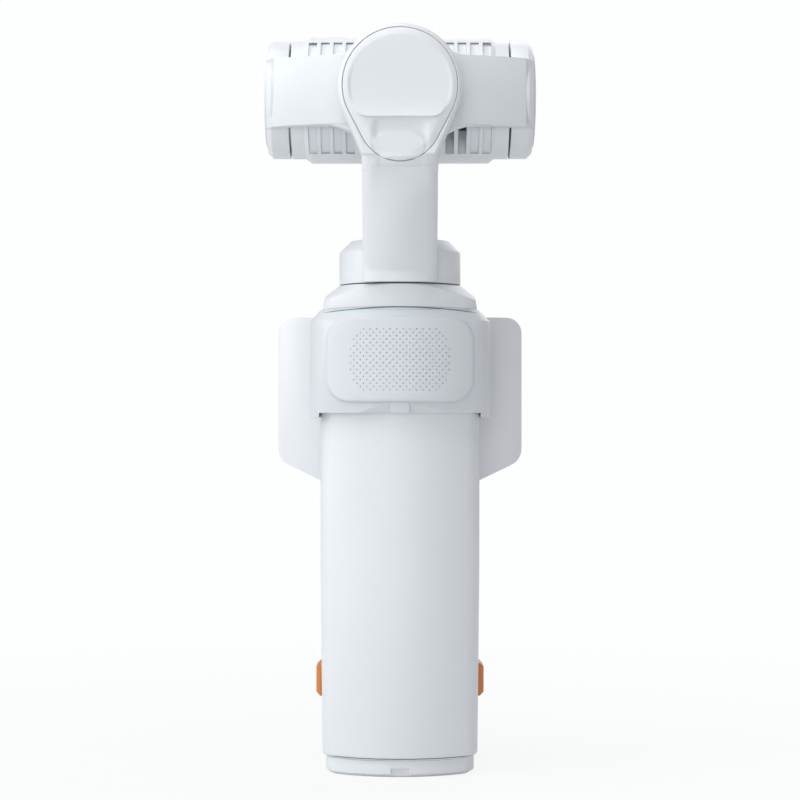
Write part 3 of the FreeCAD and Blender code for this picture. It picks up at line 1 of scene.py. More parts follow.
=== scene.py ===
import json
import math

import bmesh
import bpy
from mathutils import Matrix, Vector
from mathutils.geometry import delaunay_2d_cdt


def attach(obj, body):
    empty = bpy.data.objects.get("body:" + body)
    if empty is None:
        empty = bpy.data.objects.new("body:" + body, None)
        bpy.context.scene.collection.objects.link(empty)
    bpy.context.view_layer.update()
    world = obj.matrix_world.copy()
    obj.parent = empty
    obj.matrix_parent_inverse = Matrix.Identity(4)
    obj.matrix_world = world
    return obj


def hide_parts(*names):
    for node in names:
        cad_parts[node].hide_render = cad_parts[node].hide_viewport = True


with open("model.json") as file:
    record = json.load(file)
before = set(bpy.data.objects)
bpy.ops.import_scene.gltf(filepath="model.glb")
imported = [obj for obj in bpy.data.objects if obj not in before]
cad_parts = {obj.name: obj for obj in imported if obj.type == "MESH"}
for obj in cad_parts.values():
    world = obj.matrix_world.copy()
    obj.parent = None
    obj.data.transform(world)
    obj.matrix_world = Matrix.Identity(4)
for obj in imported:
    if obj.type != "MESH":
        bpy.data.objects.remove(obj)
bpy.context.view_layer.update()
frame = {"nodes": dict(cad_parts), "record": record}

# Shapes are given in millimetres; materials, camera, lamps and floor in metres.
MM = 0.001

# Materials

MOTTLE_SCALE = 45.0
MOTTLE_TINT = 0.02
GLOSS_SPREAD = 0.06
SMEAR_SCALE = 160.0
SMEAR_SPREAD = 0.04
THREAD_SHADE = 0.75
NOISE_MIDDLE = (0.3, 0.7)


def add(tree, kind, **values):
    """A new node with some of its properties and inputs set."""
    node = tree.nodes.new("ShaderNode" + kind)
    for key, value in values.items():
        if hasattr(node, key):
            setattr(node, key, value)
        else:
            node.inputs[key.replace("_", " ")].default_value = value
    return node


def colour_sockets(sockets):
    return [socket for socket in sockets if socket.type == "RGBA"]


def new_material(name):
    """A material with its node tree and its shader."""
    material = bpy.data.materials.new(name)
    material.use_nodes = True
    tree = material.node_tree
    return material, tree, tree.nodes["Principled BSDF"]


def noise_on(tree, coords, scale, detail=2.0, roughness=0.5):
    noise = add(tree, "TexNoise", Scale=scale, Detail=detail, Roughness=roughness)
    tree.links.new(coords.outputs["Object"], noise.inputs["Vector"])
    return noise


def ranged(tree, source, span, low, high):
    """The source's values over a span, brought into the range from low to high."""
    node = add(tree, "MapRange")
    limits = {"From Min": span[0], "From Max": span[1], "To Min": low, "To Max": high}
    for name, value in limits.items():
        node.inputs[name].default_value = value
    tree.links.new(source, node.inputs["Value"])
    return node.outputs["Result"]


def mixed(tree, factor, low, high):
    """A colour between two others, by a factor."""
    mix = add(tree, "Mix", data_type="RGBA")
    for socket, colour in zip(colour_sockets(mix.inputs), (low, high)):
        socket.default_value = (*colour, 1)
    tree.links.new(factor, mix.inputs["Factor"])
    return colour_sockets(mix.outputs)[0]


def surface(name, colour, roughness, grain=2600.0, depth=0.00002, edge=0.0, metallic=0.0, **extra):
    """A moulded, machined or coated surface with a fine grain, uneven gloss and a slight mottle."""
    material, tree, shader = new_material(name)
    coords = add(tree, "TexCoord")
    mottle = noise_on(tree, coords, MOTTLE_SCALE, detail=3.0)
    darker = [c * (1 - MOTTLE_TINT) for c in colour]
    lighter = [min(1.0, c * (1 + MOTTLE_TINT)) for c in colour]
    tree.links.new(mixed(tree, mottle.outputs["Fac"], darker, lighter), shader.inputs["Base Color"])
    fine = noise_on(tree, coords, grain)
    gloss = ranged(tree, fine.outputs["Fac"], NOISE_MIDDLE,
                   roughness - GLOSS_SPREAD, roughness + GLOSS_SPREAD)
    tree.links.new(gloss, shader.inputs["Roughness"])
    bump = add(tree, "Bump", Distance=depth)
    tree.links.new(fine.outputs["Fac"], bump.inputs["Height"])
    if edge:
        rounded = add(tree, "Bevel", samples=4)
        rounded.inputs["Radius"].default_value = edge
        tree.links.new(rounded.outputs["Normal"], bump.inputs["Normal"])
    tree.links.new(bump.outputs["Normal"], shader.inputs["Normal"])
    shader.inputs["Metallic"].default_value = metallic
    for key, value in extra.items():
        shader.inputs[key.replace("_", " ")].default_value = value
    return material


def glass(name, colour, roughness, transmission, coat_tint=None):
    """Coated glass with faint smears in its gloss."""
    material, tree, shader = new_material(name)
    coords = add(tree, "TexCoord")
    smears = noise_on(tree, coords, SMEAR_SCALE, detail=4.0, roughness=0.7)
    gloss = ranged(tree, smears.outputs["Fac"], NOISE_MIDDLE, roughness, roughness + SMEAR_SPREAD)
    tree.links.new(gloss, shader.inputs["Roughness"])
    shader.inputs["Base Color"].default_value = (*colour, 1)
    shader.inputs["Transmission Weight"].default_value = transmission
    shader.inputs["IOR"].default_value = 1.5
    if coat_tint:
        shader.inputs["Coat Weight"].default_value = 0.3
        shader.inputs["Coat Roughness"].default_value = 0.02
        shader.inputs["Coat Tint"].default_value = (*coat_tint, 1)
    return material


def woven(name, colour, threads):
    """Fine acoustic cloth: crossed threads that shade and stand out of it."""
    material, tree, shader = new_material(name)
    coords = add(tree, "TexCoord")
    crossed = add(tree, "Math", operation="MAXIMUM")
    for index, direction in enumerate(("X", "Z")):
        wave = add(tree, "TexWave", bands_direction=direction, Scale=threads, Distortion=0.6)
        tree.links.new(coords.outputs["Object"], wave.inputs["Vector"])
        tree.links.new(wave.outputs["Fac"], crossed.inputs[index])
    between = [c * THREAD_SHADE for c in colour]
    tree.links.new(mixed(tree, crossed.outputs["Value"], between, colour), shader.inputs["Base Color"])
    bump = add(tree, "Bump", Distance=0.00003)
    tree.links.new(crossed.outputs["Value"], bump.inputs["Height"])
    tree.links.new(bump.outputs["Normal"], shader.inputs["Normal"])
    shader.inputs["Roughness"].default_value = 0.8
    return material


EDGE = 0.22 * MM
WHITE = (0.755, 0.785, 0.815)
MATERIALS = {
    "white_plastic": surface("white_plastic", WHITE, 0.42, edge=EDGE),
    "frosted_plastic": surface("frosted_plastic", (0.68, 0.71, 0.75), 0.36, grain=3200.0, edge=EDGE,
                               Subsurface_Weight=0.35, Subsurface_Scale=0.002),
    "screen_plastic": surface("screen_plastic", (0.75, 0.775, 0.805), 0.40, edge=EDGE),
    "orange_plastic": surface("orange_plastic", (0.62, 0.19, 0.036), 0.36, edge=EDGE),
    "dark_plastic": surface("dark_plastic", (0.014, 0.014, 0.016), 0.45, edge=EDGE),
    "lens_metal": surface("lens_metal", (0.02, 0.02, 0.022), 0.32, metallic=0.9, edge=EDGE / 2),
    "lens_glass": glass("lens_glass", (0.85, 0.89, 0.96), 0.01, 1.0, (0.65, 0.75, 1.0)),
    "black_glass": glass("black_glass", (0.006, 0.006, 0.008), 0.03, 0.0),
    "aluminium": surface("aluminium", (0.62, 0.63, 0.64), 0.34, metallic=1.0),
    "steel": surface("steel", (0.48, 0.49, 0.50), 0.30, metallic=1.0),
    "copper": surface("copper", (0.62, 0.27, 0.12), 0.35, metallic=1.0),
    "brass": surface("brass", (0.62, 0.44, 0.17), 0.33, metallic=1.0),
    "circuit_board": surface("circuit_board", (0.012, 0.09, 0.05), 0.45),
    "cell_wrap": surface("cell_wrap", (0.06, 0.12, 0.25), 0.35),
    "rubber": surface("rubber", (0.02, 0.02, 0.021), 0.65, depth=0.00004, edge=EDGE),
}
WHITE_PLASTIC = MATERIALS["white_plastic"]
COVER_PLASTIC = surface("cover_plastic", (0.665, 0.70, 0.74), 0.42, edge=EDGE)
SPEAKER_CLOTH = woven("speaker_cloth", (0.86, 0.88, 0.90), 900.0)
# Dark grey for the painted shade lines laid along two seams
SEAM_SHADE_DARK = surface("painted_seam_shade", (0.16, 0.165, 0.175), 0.6, depth=0.00004)
COATING = glass("coating", (0.05, 0.07, 0.16), 0.05, 0.0, (0.5, 0.4, 1.0))

# CAD nodes: materials, smooth shading and softly moulded edges

# Width of the rounding on each moulded node's edges
MOULDED = {
    "grip_housing": 0.30, "base_cap": 0.35, "clip_band": 0.45, "pan_collar": 0.45, "pan_arm": 0.50,
    "yoke": 0.50, "camera_barrel": 0.22, "module_bezel": 0.35, "module_back_shell": 0.35,
    "left_release_button": 0.35, "right_release_button": 0.35, "record_button": 0.25,
    "function_button": 0.18, "power_button": 0.18, "left_cheek_cover": 0.20, "right_cheek_cover": 0.20,
    "face_plate": 0.20, "main_lens": 0.18, "second_lens": 0.18,
}
WELD_REACH = 0.002
ROUNDING_STEPS = 3
SHARP = math.radians(28)


def dress(node, name, material):
    """Gives a CAD node its material, smooth shading between its flat faces and moulded edges."""
    node.data.materials.clear()
    node.data.materials.append(material)
    node.data.shade_smooth()
    weld = node.modifiers.new("weld", "WELD")
    weld.merge_threshold = WELD_REACH * MM
    if name in MOULDED:
        bevel = node.modifiers.new("moulded", "BEVEL")
        bevel.width = MOULDED[name] * MM
        bevel.segments = ROUNDING_STEPS
        bevel.limit_method = "ANGLE"
        bevel.angle_limit = SHARP
        bevel.harden_normals = True
    else:
        split = node.modifiers.new("split", "EDGE_SPLIT")
        split.split_angle = SHARP


slot_of = {entry["node"]: entry["material_slot"] for entry in frame["record"]["subparts"]}
for node_name, node in frame["nodes"].items():
    dress(node, node_name, MATERIALS[slot_of[node_name]])

# Shapes

DOUBLED = 1e-4
CORNER_STEPS = 10
INSIDE_LOOPS = 1
CLOSEST = 1e-5


def new_piece(name, mesh, material, body):
    """A smooth piece with its material, riding a body."""
    mesh.materials.append(material)
    mesh.shade_smooth()
    piece = bpy.data.objects.new(name, mesh)
    bpy.context.scene.collection.objects.link(piece)
    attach(piece, body)
    return piece


def mesh_of(name, vertices, faces):
    mesh = bpy.data.meshes.new(name)
    mesh.from_pydata([tuple(c * MM for c in vertex) for vertex in vertices], [], faces)
    mesh.validate()
    return mesh


def split_sharp(piece, angle):
    split = piece.modifiers.new("split", "EDGE_SPLIT")
    split.split_angle = math.radians(angle)


def face_outwards(mesh):
    bm = bmesh.new()
    bm.from_mesh(mesh)
    bmesh.ops.recalc_face_normals(bm, faces=bm.faces)
    bm.to_mesh(mesh)
    bm.free()


def solid_piece(name, vertices, faces, material, body, sharp=None):
    """A closed piece; edges that turn more than the sharp angle, in degrees, are kept sharp."""
    mesh = mesh_of(name, vertices, faces)
    face_outwards(mesh)
    piece = new_piece(name, mesh, material, body)
    if sharp:
        split_sharp(piece, sharp)
    return piece


def tube_faces(count, rings, start=0):
    """The faces of a tube with both ends closed: rings of count points, numbered from start."""
    faces = []
    for ring in range(rings - 1):
        for i in range(count):
            a, b = start + ring * count + i, start + ring * count + (i + 1) % count
            faces.append((a, b, b + count, a + count))
    faces.append(tuple(start + i for i in range(count)))
    last = start + (rings - 1) * count
    faces.append(tuple(last + i for i in reversed(range(count))))
    return faces


def lathe(profile, sides, place):
    """A closed turned shape: profile points (radius, reach) about an axis along Y through place."""
    vertices = []
    for radius, reach in profile:
        for side in range(sides):
            turn = 2 * math.pi * side / sides
            vertices.append((place[0] + radius * math.cos(turn), place[1] + reach,
                             place[2] + radius * math.sin(turn)))
    return vertices, tube_faces(sides, len(profile))


def smooth_step(value):
    value = min(max(value, 0.0), 1.0)
    return value * value * (3 - 2 * value)


def arc(centre, radius, first, last, steps):
    """Points along an arc, angles in degrees."""
    turns = [math.radians(first + (last - first) * i / steps) for i in range(steps + 1)]
    return [(centre[0] + radius * math.cos(t), centre[1] + radius * math.sin(t)) for t in turns]


def finer(loop, step):
    """The closed loop without doubled points and with its long sides divided."""
    loop = [point for index, point in enumerate(loop) if math.dist(point, loop[index - 1]) > DOUBLED]
    points = []
    for index, start in enumerate(loop):
        end = loop[(index + 1) % len(loop)]
        parts = max(1, math.ceil(math.dist(start, end) / step))
        for part in range(parts):
            share = part / parts
            points.append((start[0] + (end[0] - start[0]) * share,
                           start[1] + (end[1] - start[1]) * share))
    return points


def inside_depth(point, loop):
    """How far the point lies inside a closed loop, negative outside it."""
    x, y = point
    nearest, inside = math.inf, False
    for (ax, ay), (bx, by) in zip(loop, loop[1:] + loop[:1]):
        dx, dy = bx - ax, by - ay
        share = min(max(((x - ax) * dx + (y - ay) * dy) / (dx * dx + dy * dy), 0.0), 1.0)
        nearest = min(nearest, math.hypot(x - ax - dx * share, y - ay - dy * share))
        if (ay > y) != (by > y) and x < ax + (y - ay) * dx / dy:
            inside = not inside
    return nearest if inside else -nearest


def rounded_rectangle(width, height, corner, step=0.7, middle=0.0):
    """A rounded rectangle about (0, middle)."""
    loop = []
    for index, (sx, sy) in enumerate(((1, -1), (1, 1), (-1, 1), (-1, -1))):
        centre = (sx * (width / 2 - corner), middle + sy * (height / 2 - corner))
        loop += arc(centre, corner, -90 + 90 * index, 90 * index, CORNER_STEPS)
    return finer(loop, step)


def triangulated(loops, loose):
    """A triangulation of the area inside the loops that keeps their edges."""
    points, edges = [], []
    for loop in loops:
        start = len(points)
        points.extend(Vector(p) for p in loop)
        edges.extend((start + i, start + (i + 1) % len(loop)) for i in range(len(loop)))
    points.extend(Vector(p) for p in loose)
    flat, _, faces, _, _, _ = delaunay_2d_cdt(points, edges, [], INSIDE_LOOPS, CLOSEST)
    return flat, faces


# Perforated cover over the loudspeaker, and the cloth behind it

COVER_RADIUS = 33.4
COVER_CENTRE = 15.0
COVER_MIDDLE = 99.7
COVER_WIDTH = 35.4
COVER_HEIGHT = 20.2
COVER_CORNER = 5.6
COVER_THICKNESS = 0.3
COVER_EDGE = 0.8
COVER_DROP = 0.5
RIM_STEEPEST = 0.999
EDGE_SHARES = (0.25, 0.6, 1.0)
COVER_GRID = (1.0, 1.1)
COVER_CELLS = (16, 8)
GRID_FROM_EDGE = 0.5
GRID_FROM_HOLE = 0.62
HOLE_RADIUS = 0.17
HOLE_SIDES = 10
HOLE_INSIDE = 0.93  # faces with their middle nearer than this share of the radius are open
HOLE_PITCH = 1.56
ROW_PITCH = 0.80
FIELD_HALF_WIDTH = 12.3
FIELD_HALF_HEIGHT = 7.25
FIELD_NARROWING = 2.6
FIELD_POWER = 2.4
CLOTH_HALF_WIDTH = 13.4
CLOTH_HALF_HEIGHT = 8.2
CLOTH_THICKNESS = 0.2
CLOTH_COLUMNS = 24


def hole_places():
    """Staggered rows of holes that fill a field with rounded ends."""
    places = []
    rows = int(FIELD_HALF_HEIGHT / ROW_PITCH)
    for row in range(-rows, rows + 1):
        v = row * ROW_PITCH
        reach = FIELD_HALF_WIDTH - FIELD_NARROWING * (abs(v) / FIELD_HALF_HEIGHT) ** FIELD_POWER
        offset = HOLE_PITCH / 2 if row % 2 else 0.0
        count = int((reach + offset) / HOLE_PITCH) + 1
        for index in range(-count, count + 1):
            u = index * HOLE_PITCH + offset
            if abs(u) <= reach:
                places.append((u, v))
    return places


def on_cover(u, v, sink):
    """A point of the cover's curved face, sunk below it."""
    depth = math.sqrt((COVER_RADIUS - sink) ** 2 - u ** 2)
    return u, COVER_CENTRE - depth, COVER_MIDDLE + v


def perforated_cover():
    """A curved skin with a rounded rim and open holes, made thick by a modifier."""
    outer = rounded_rectangle(COVER_WIDTH, COVER_HEIGHT, COVER_CORNER)
    loops = [outer]
    for share in EDGE_SHARES:
        inset = COVER_EDGE * share
        loops.append(rounded_rectangle(COVER_WIDTH - 2 * inset, COVER_HEIGHT - 2 * inset,
                                       COVER_CORNER - inset))
    holes = hole_places()
    for hole in holes:
        loops.append(arc(hole, HOLE_RADIUS, 0, 360 - 360 / HOLE_SIDES, HOLE_SIDES - 1))
    loose = []
    for i in range(-COVER_CELLS[0], COVER_CELLS[0] + 1):
        for j in range(-COVER_CELLS[1], COVER_CELLS[1] + 1):
            point = (i * COVER_GRID[0], j * COVER_GRID[1])
            clear_of_edge = inside_depth(point, outer) > COVER_EDGE + GRID_FROM_EDGE
            if clear_of_edge and min(math.dist(point, hole) for hole in holes) > GRID_FROM_HOLE:
                loose.append(point)
    flat, faces = triangulated(loops, loose)
    kept = []
    for face in faces:
        centre = sum((flat[i] for i in face), Vector((0, 0))) / len(face)
        if min(math.dist(centre, hole) for hole in holes) > HOLE_RADIUS * HOLE_INSIDE:
            kept.append(face)
    vertices = []
    for point in flat:
        share = 1 - min(max(inside_depth(tuple(point), outer), 0.0) / COVER_EDGE, 1.0)
        sink = COVER_DROP * (1 - math.sqrt(1 - (share * RIM_STEEPEST) ** 2))
        vertices.append(on_cover(point.x, point.y, sink))
    mesh = mesh_of("perforated_cover_skin", vertices, kept)
    bm = bmesh.new()
    bm.from_mesh(mesh)
    bmesh.ops.recalc_face_normals(bm, faces=bm.faces)
    if sum(face.normal.y * face.calc_area() for face in bm.faces) > 0:
        bmesh.ops.reverse_faces(bm, faces=bm.faces)
    bm.to_mesh(mesh)
    bm.free()
    cover = new_piece("perforated_cover_skin", mesh, COVER_PLASTIC, "handle")
    thick = cover.modifiers.new("thickness", "SOLIDIFY")
    thick.thickness = COVER_THICKNESS * MM
    thick.offset = -1
    split_sharp(cover, 50)
    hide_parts("perforated_cover")


def speaker_cloth():
    """The acoustic cloth behind the holes."""
    vertices, faces = [], []
    for sink in (COVER_THICKNESS, COVER_THICKNESS + CLOTH_THICKNESS):
        for v in (-CLOTH_HALF_HEIGHT, CLOTH_HALF_HEIGHT):
            for i in range(CLOTH_COLUMNS + 1):
                vertices.append(on_cover(CLOTH_HALF_WIDTH * (2 * i / CLOTH_COLUMNS - 1), v, sink))
    row = CLOTH_COLUMNS + 1
    for i in range(CLOTH_COLUMNS):
        a, b, c, d = i, row + i, 2 * row + i, 3 * row + i
        faces += [(a, a + 1, b + 1, b), (c, d, d + 1, c + 1), (a, c, c + 1, a + 1), (b, b + 1, d + 1, d)]
    a, b, c, d = (CLOTH_COLUMNS + row * k for k in range(4))
    faces += [(0, row, 3 * row, 2 * row), (a, c, d, b)]
    solid_piece("speaker_cloth", vertices, faces, SPEAKER_CLOTH, "handle", 40)


# Moulded teardrop cover of the roll motor: a relief over the cover's outline

ROLL_AXIS = 162.9
HOUSING_BACK = 30.4
PLATE_BACK = 28.95
SEAM = 0.12
TEARDROP_RADIUS = 13.4
TEARDROP_FOOT = 9.8
TEARDROP_DROP = 7.8
DISC_RADIUS = 11.7
DISC_CORNER = 3.4
DISC_CHORD = 7.4
DISC_WALL = 0.28
LIP = 1.28
LIP_RISE = 6.6
LIP_POWER = 2.4
CREST = 0.62
DISH = 0.34
BEAD_WIDTH = 1.75
BEAD_BULGE = 0.3
HOLLOW_WIDTH = 13.6
HOLLOW_HEIGHT = 10.4
HOLLOW_CORNER = 3.0
HOLLOW_MIDDLE = -12.0
HOLLOW_WALL = 1.6
LOBE_WIDTH = 12.0
LOBE_HEIGHT = 6.4
LOBE_CORNER = 3.19
LOBE_MIDDLE = -13.8
LOBE_WALL = 0.35
LOBE_RISE = 0.30
RELIEF_STEP = 0.8
RELIEF_GRID = 0.55
RELIEF_COLUMNS = range(-24, 25)
RELIEF_ROWS = range(-33, 25)
GRID_FROM_SEAM = 1.3
GRID_FROM_WALL = 0.75
# Lines kept in the mesh: inside the disc's edge and inside the seam
DISC_LINE = 0.5
SEAM_LINES = (0.4, 0.9)
ROUND_STEPS = 90
FOOT_STEPS = 50
DISC_CORNER_STEPS = 12


def teardrop(inset):
    """The cover's outline about the roll axis: round, narrowing to a smaller round foot."""
    lean = math.degrees(math.asin((TEARDROP_RADIUS - TEARDROP_FOOT) / TEARDROP_DROP))
    loop = arc((0, 0), TEARDROP_RADIUS - inset, -lean, 180 + lean, ROUND_STEPS)
    loop += arc((0, -TEARDROP_DROP), TEARDROP_FOOT - inset, 180 + lean, 360 - lean, FOOT_STEPS)
    return finer(loop, RELIEF_STEP)


def disc(outset):
    """The raised disc's outline: round, with a straight lower edge and rounded corners."""
    inner = DISC_RADIUS - DISC_CORNER
    corner_z = -(DISC_CHORD - DISC_CORNER)
    corner_x = math.sqrt(inner ** 2 - corner_z ** 2)
    lean = math.degrees(math.atan2(-corner_z, corner_x))
    loop = arc((0, 0), DISC_RADIUS + outset, -lean, 180 + lean, ROUND_STEPS)
    loop += arc((-corner_x, corner_z), DISC_CORNER + outset, 180 + lean, 270, DISC_CORNER_STEPS)
    loop += arc((corner_x, corner_z), DISC_CORNER + outset, 270, 360 - lean, DISC_CORNER_STEPS)
    return finer(loop, RELIEF_STEP)


def lobe(inset):
    """The outline of the low lobe under the disc."""
    return rounded_rectangle(LOBE_WIDTH - 2 * inset, LOBE_HEIGHT - 2 * inset, LOBE_CORNER - inset,
                             RELIEF_STEP, LOBE_MIDDLE)


def arm_cover():
    """The relief, with its rim drawn down to the plate and closed there."""
    seam, edge, foot = teardrop(SEAM), disc(0.0), disc(DISC_WALL)
    lobe_low, lobe_high = lobe(0.0), lobe(LOBE_WALL)
    hollow = rounded_rectangle(HOLLOW_WIDTH, HOLLOW_HEIGHT, HOLLOW_CORNER, RELIEF_STEP, HOLLOW_MIDDLE)

    def plate(point):
        """The height outside the disc: a bead along the seam, a shallow hollow and a lobe in it."""
        share = min(max(inside_depth(point, seam), 0.0) / BEAD_WIDTH, 1.0)
        bead = CREST * ((1 + BEAD_BULGE) * share - BEAD_BULGE * share * share)
        bead -= CREST * smooth_step(inside_depth(point, hollow) / HOLLOW_WALL)
        return bead + LOBE_RISE * smooth_step(inside_depth(point, lobe_low) / LOBE_WALL)

    def height(point):
        """The height of the whole relief: the dished disc rises to its lip, then falls to the plate."""
        within = inside_depth(point, edge)
        above = (DISC_RADIUS - point[1]) / (DISC_RADIUS + DISC_CHORD - LIP_RISE)
        share = min(max((LIP_RISE - DISC_CHORD - point[1]) / LIP_RISE, 0.0), 1.0)
        dished = CREST - DISH * smooth_step(above)
        top = dished + (LIP - CREST + DISH) * share ** LIP_POWER
        if within >= 0:
            return top
        return top + (plate(point) - top) * smooth_step(-within / DISC_WALL)

    loops = [seam, edge, foot, disc(-DISC_LINE), lobe_low, lobe_high]
    loops += [teardrop(SEAM + line) for line in SEAM_LINES]
    loose = []
    for i in RELIEF_COLUMNS:
        for j in RELIEF_ROWS:
            point = (i * RELIEF_GRID, j * RELIEF_GRID)
            if inside_depth(point, seam) < GRID_FROM_SEAM:
                continue
            if min(abs(inside_depth(point, loop)) for loop in (edge, lobe_low)) > GRID_FROM_WALL:
                loose.append(point)
    flat, faces = triangulated(loops, loose)
    vertices = [(p.x, -HOUSING_BACK - height((p.x, p.y)), ROLL_AXIS + p.y) for p in flat]
    mesh = mesh_of("arm_cover_relief", vertices, faces)
    bm = bmesh.new()
    bm.from_mesh(mesh)
    rim = [edge for edge in bm.edges if edge.is_boundary]
    grown = bmesh.ops.extrude_edge_only(bm, edges=rim)["geom"]
    for item in grown:
        if isinstance(item, bmesh.types.BMVert):
            item.co.y = -PLATE_BACK * MM
    back = [item for item in grown if isinstance(item, bmesh.types.BMEdge) and item.is_boundary]
    bmesh.ops.edgenet_fill(bm, edges=back)
    bmesh.ops.recalc_face_normals(bm, faces=bm.faces)
    bm.to_mesh(mesh)
    bm.free()
    cover = new_piece("arm_cover_relief", mesh, WHITE_PLASTIC, "pan_arm")
    split_sharp(cover, 60)
    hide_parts("arm_cover")


# Crowned outer face of the arm

ARM_PATH = ((-16.8, 118.25), (-16.8, 121.0), (-30.4, 147.0))
ARM_KNEES = (3.0, 12.0)
KNEE_STEPS = (6, 8)
STRAIGHT_STEPS = 12
ARM_HALF = 8.87
ARM_FLAT = 6.25
ARM_BEVEL = 2.6
ARM_SKIN_TOP = 144.9
SKIN_LIFT = 0.03
SKIN_DEPTH = 0.7
SKIN_NARROWING = 0.96
SKIN_FOLLOW = 0.9
SECTION_STEPS = 8
SHOULDER_PULL = 1.35
SHOULDER_END = math.radians(76)
CROWN = 1.5
CROWN_FADE = 135.0
CROWN_FOOT = 118.0
CROWN_FOOT_REACH = 8.0
CROWN_FOOT_SHARE = 0.65


def arm_stations(top):
    """Points up the arm's outer face to a height, each with the direction that faces out."""
    (y0, z0), (y1, z1), (y2, z2) = ARM_PATH
    lean = math.atan2(y1 - y2, z2 - z1)
    stations = [(y0, z0, 0.0)]
    radius, steps = ARM_KNEES[0], KNEE_STEPS[0]
    centre = (y1 - radius, z1 - radius * math.tan(lean / 2))
    for i in range(steps + 1):
        turn = lean * i / steps
        stations.append((centre[0] + radius * math.cos(turn), centre[1] + radius * math.sin(turn), turn))
    y, z, _ = stations[-1]
    radius, steps = ARM_KNEES[1], KNEE_STEPS[1]
    reach = radius * math.tan(lean / 2)
    end = (y2 + reach * math.sin(lean), z2 - reach * math.cos(lean))
    for i in range(1, STRAIGHT_STEPS + 1):
        share = i / STRAIGHT_STEPS
        stations.append((y + (end[0] - y) * share, z + (end[1] - z) * share, lean))
    centre = (y2 + radius, z2 + reach)
    for i in range(1, steps + 1):
        turn = lean * (1 - i / steps)
        station = (centre[0] - radius * math.cos(turn), centre[1] - radius * math.sin(turn), turn)
        if station[1] > top:
            break
        stations.append(station)
    return stations


def arm_section(crown):
    """Half of the crowned section: (across, out) from the middle to the arm's side."""
    points = []
    for i in range(SECTION_STEPS + 1):
        share = i / SECTION_STEPS
        points.append((ARM_FLAT * share, crown * (1 - share ** 2) + SKIN_LIFT))
    slope = math.atan2(2 * crown, ARM_FLAT)
    start, end = Vector((ARM_FLAT, SKIN_LIFT)), Vector((ARM_HALF, -ARM_BEVEL))
    ahead = start + Vector((math.cos(slope), -math.sin(slope))) * SHOULDER_PULL
    behind = end - Vector((math.cos(SHOULDER_END), -math.sin(SHOULDER_END))) * SHOULDER_PULL
    for i in range(1, SECTION_STEPS + 1):
        t = i / SECTION_STEPS
        point = (start * (1 - t) ** 3 + ahead * 3 * t * (1 - t) ** 2
                 + behind * 3 * t * t * (1 - t) + end * t ** 3)
        points.append((point.x, point.y))
    return points


def arm_skin():
    """The crowned back of the arm, laid over its flat one."""
    vertices = []
    stations = arm_stations(ARM_SKIN_TOP)
    for y, z, turn in stations:
        crown = CROWN * (1 - smooth_step((z - CROWN_FADE) / (ARM_SKIN_TOP - CROWN_FADE)))
        crown *= (CROWN_FOOT_SHARE
                  + (1 - CROWN_FOOT_SHARE) * smooth_step((z - CROWN_FOOT) / CROWN_FOOT_REACH))
        half = arm_section(crown)
        section = [(-x, out) for x, out in half[:0:-1]] + half
        inner = [(x * SKIN_NARROWING, min(out, 0.0) * SKIN_FOLLOW - SKIN_DEPTH)
                 for x, out in section[::-1]]
        for x, out in section + inner:
            vertices.append((x, y - out * math.cos(turn), z - out * math.sin(turn)))
    faces = tube_faces(len(vertices) // len(stations), len(stations))
    solid_piece("arm_crown", vertices, faces, WHITE_PLASTIC, "pan_arm", 40)


# Fillets from the arm's sides into the roll housing

NECK_FOOT = 142.6
NECK_TOP = 152.0
NECK_STEPS = 20
NECK_LIFT = 0.06
NECK_SINK = 0.36
NECK_DEPTH = 0.9
NECK_LEAST = 5.0
NECK_BLEND = 14
NECK_TURN = 84
NECK_SECTION_STEPS = 8
FOOT_CENTRE = 155.1
HOUSING_FOOT = 11.0
SEAM_FOOT = 9.68
SEAM_GAP = 0.4
FLAT_FROM_SIDE = 1.4
FLAT_LEAST = 0.05
DROP_LESS = 1.2
DROP_START = 146.0
DROP_REACH = 5.0


def beside(radius, z):
    """Half the width of the housing's round foot at a height."""
    return math.sqrt(max(radius ** 2 - (FOOT_CENTRE - z) ** 2, 0.0))


def face_at(z):
    """How far back the arm's outer face lies at a height."""
    stations = arm_stations(NECK_TOP) + [(-HOUSING_BACK, NECK_TOP + 1, 0.0)]
    for (y0, z0, _), (y1, z1, _) in zip(stations, stations[1:]):
        if z0 <= z <= z1:
            return y0 + (y1 - y0) * (z - z0) / (z1 - z0)
    return -HOUSING_BACK


def neck_section(z, lift):
    """The fillet's section at a height: (across, in) from the teardrop cover to the side."""
    outer = (ARM_HALF ** NECK_BLEND + beside(HOUSING_FOOT, z) ** NECK_BLEND) ** (1 / NECK_BLEND) + lift
    inner = max(NECK_LEAST, beside(SEAM_FOOT, z) + SEAM_GAP)
    drop = ARM_BEVEL - DROP_LESS * smooth_step((z - DROP_START) / DROP_REACH)
    flat = max(min(ARM_FLAT, outer - FLAT_FROM_SIDE * drop), inner + FLAT_LEAST)
    full = math.radians(NECK_TURN)
    section = [(inner, 0.0)]
    for i in range(NECK_SECTION_STEPS + 1):
        turn = math.radians(NECK_TURN * i / NECK_SECTION_STEPS)
        section.append((flat + (outer - flat) * math.sin(turn) / math.sin(full),
                        drop * (1 - math.cos(turn)) / (1 - math.cos(full))))
    return section + [(outer - NECK_DEPTH, drop), (inner, NECK_DEPTH)]


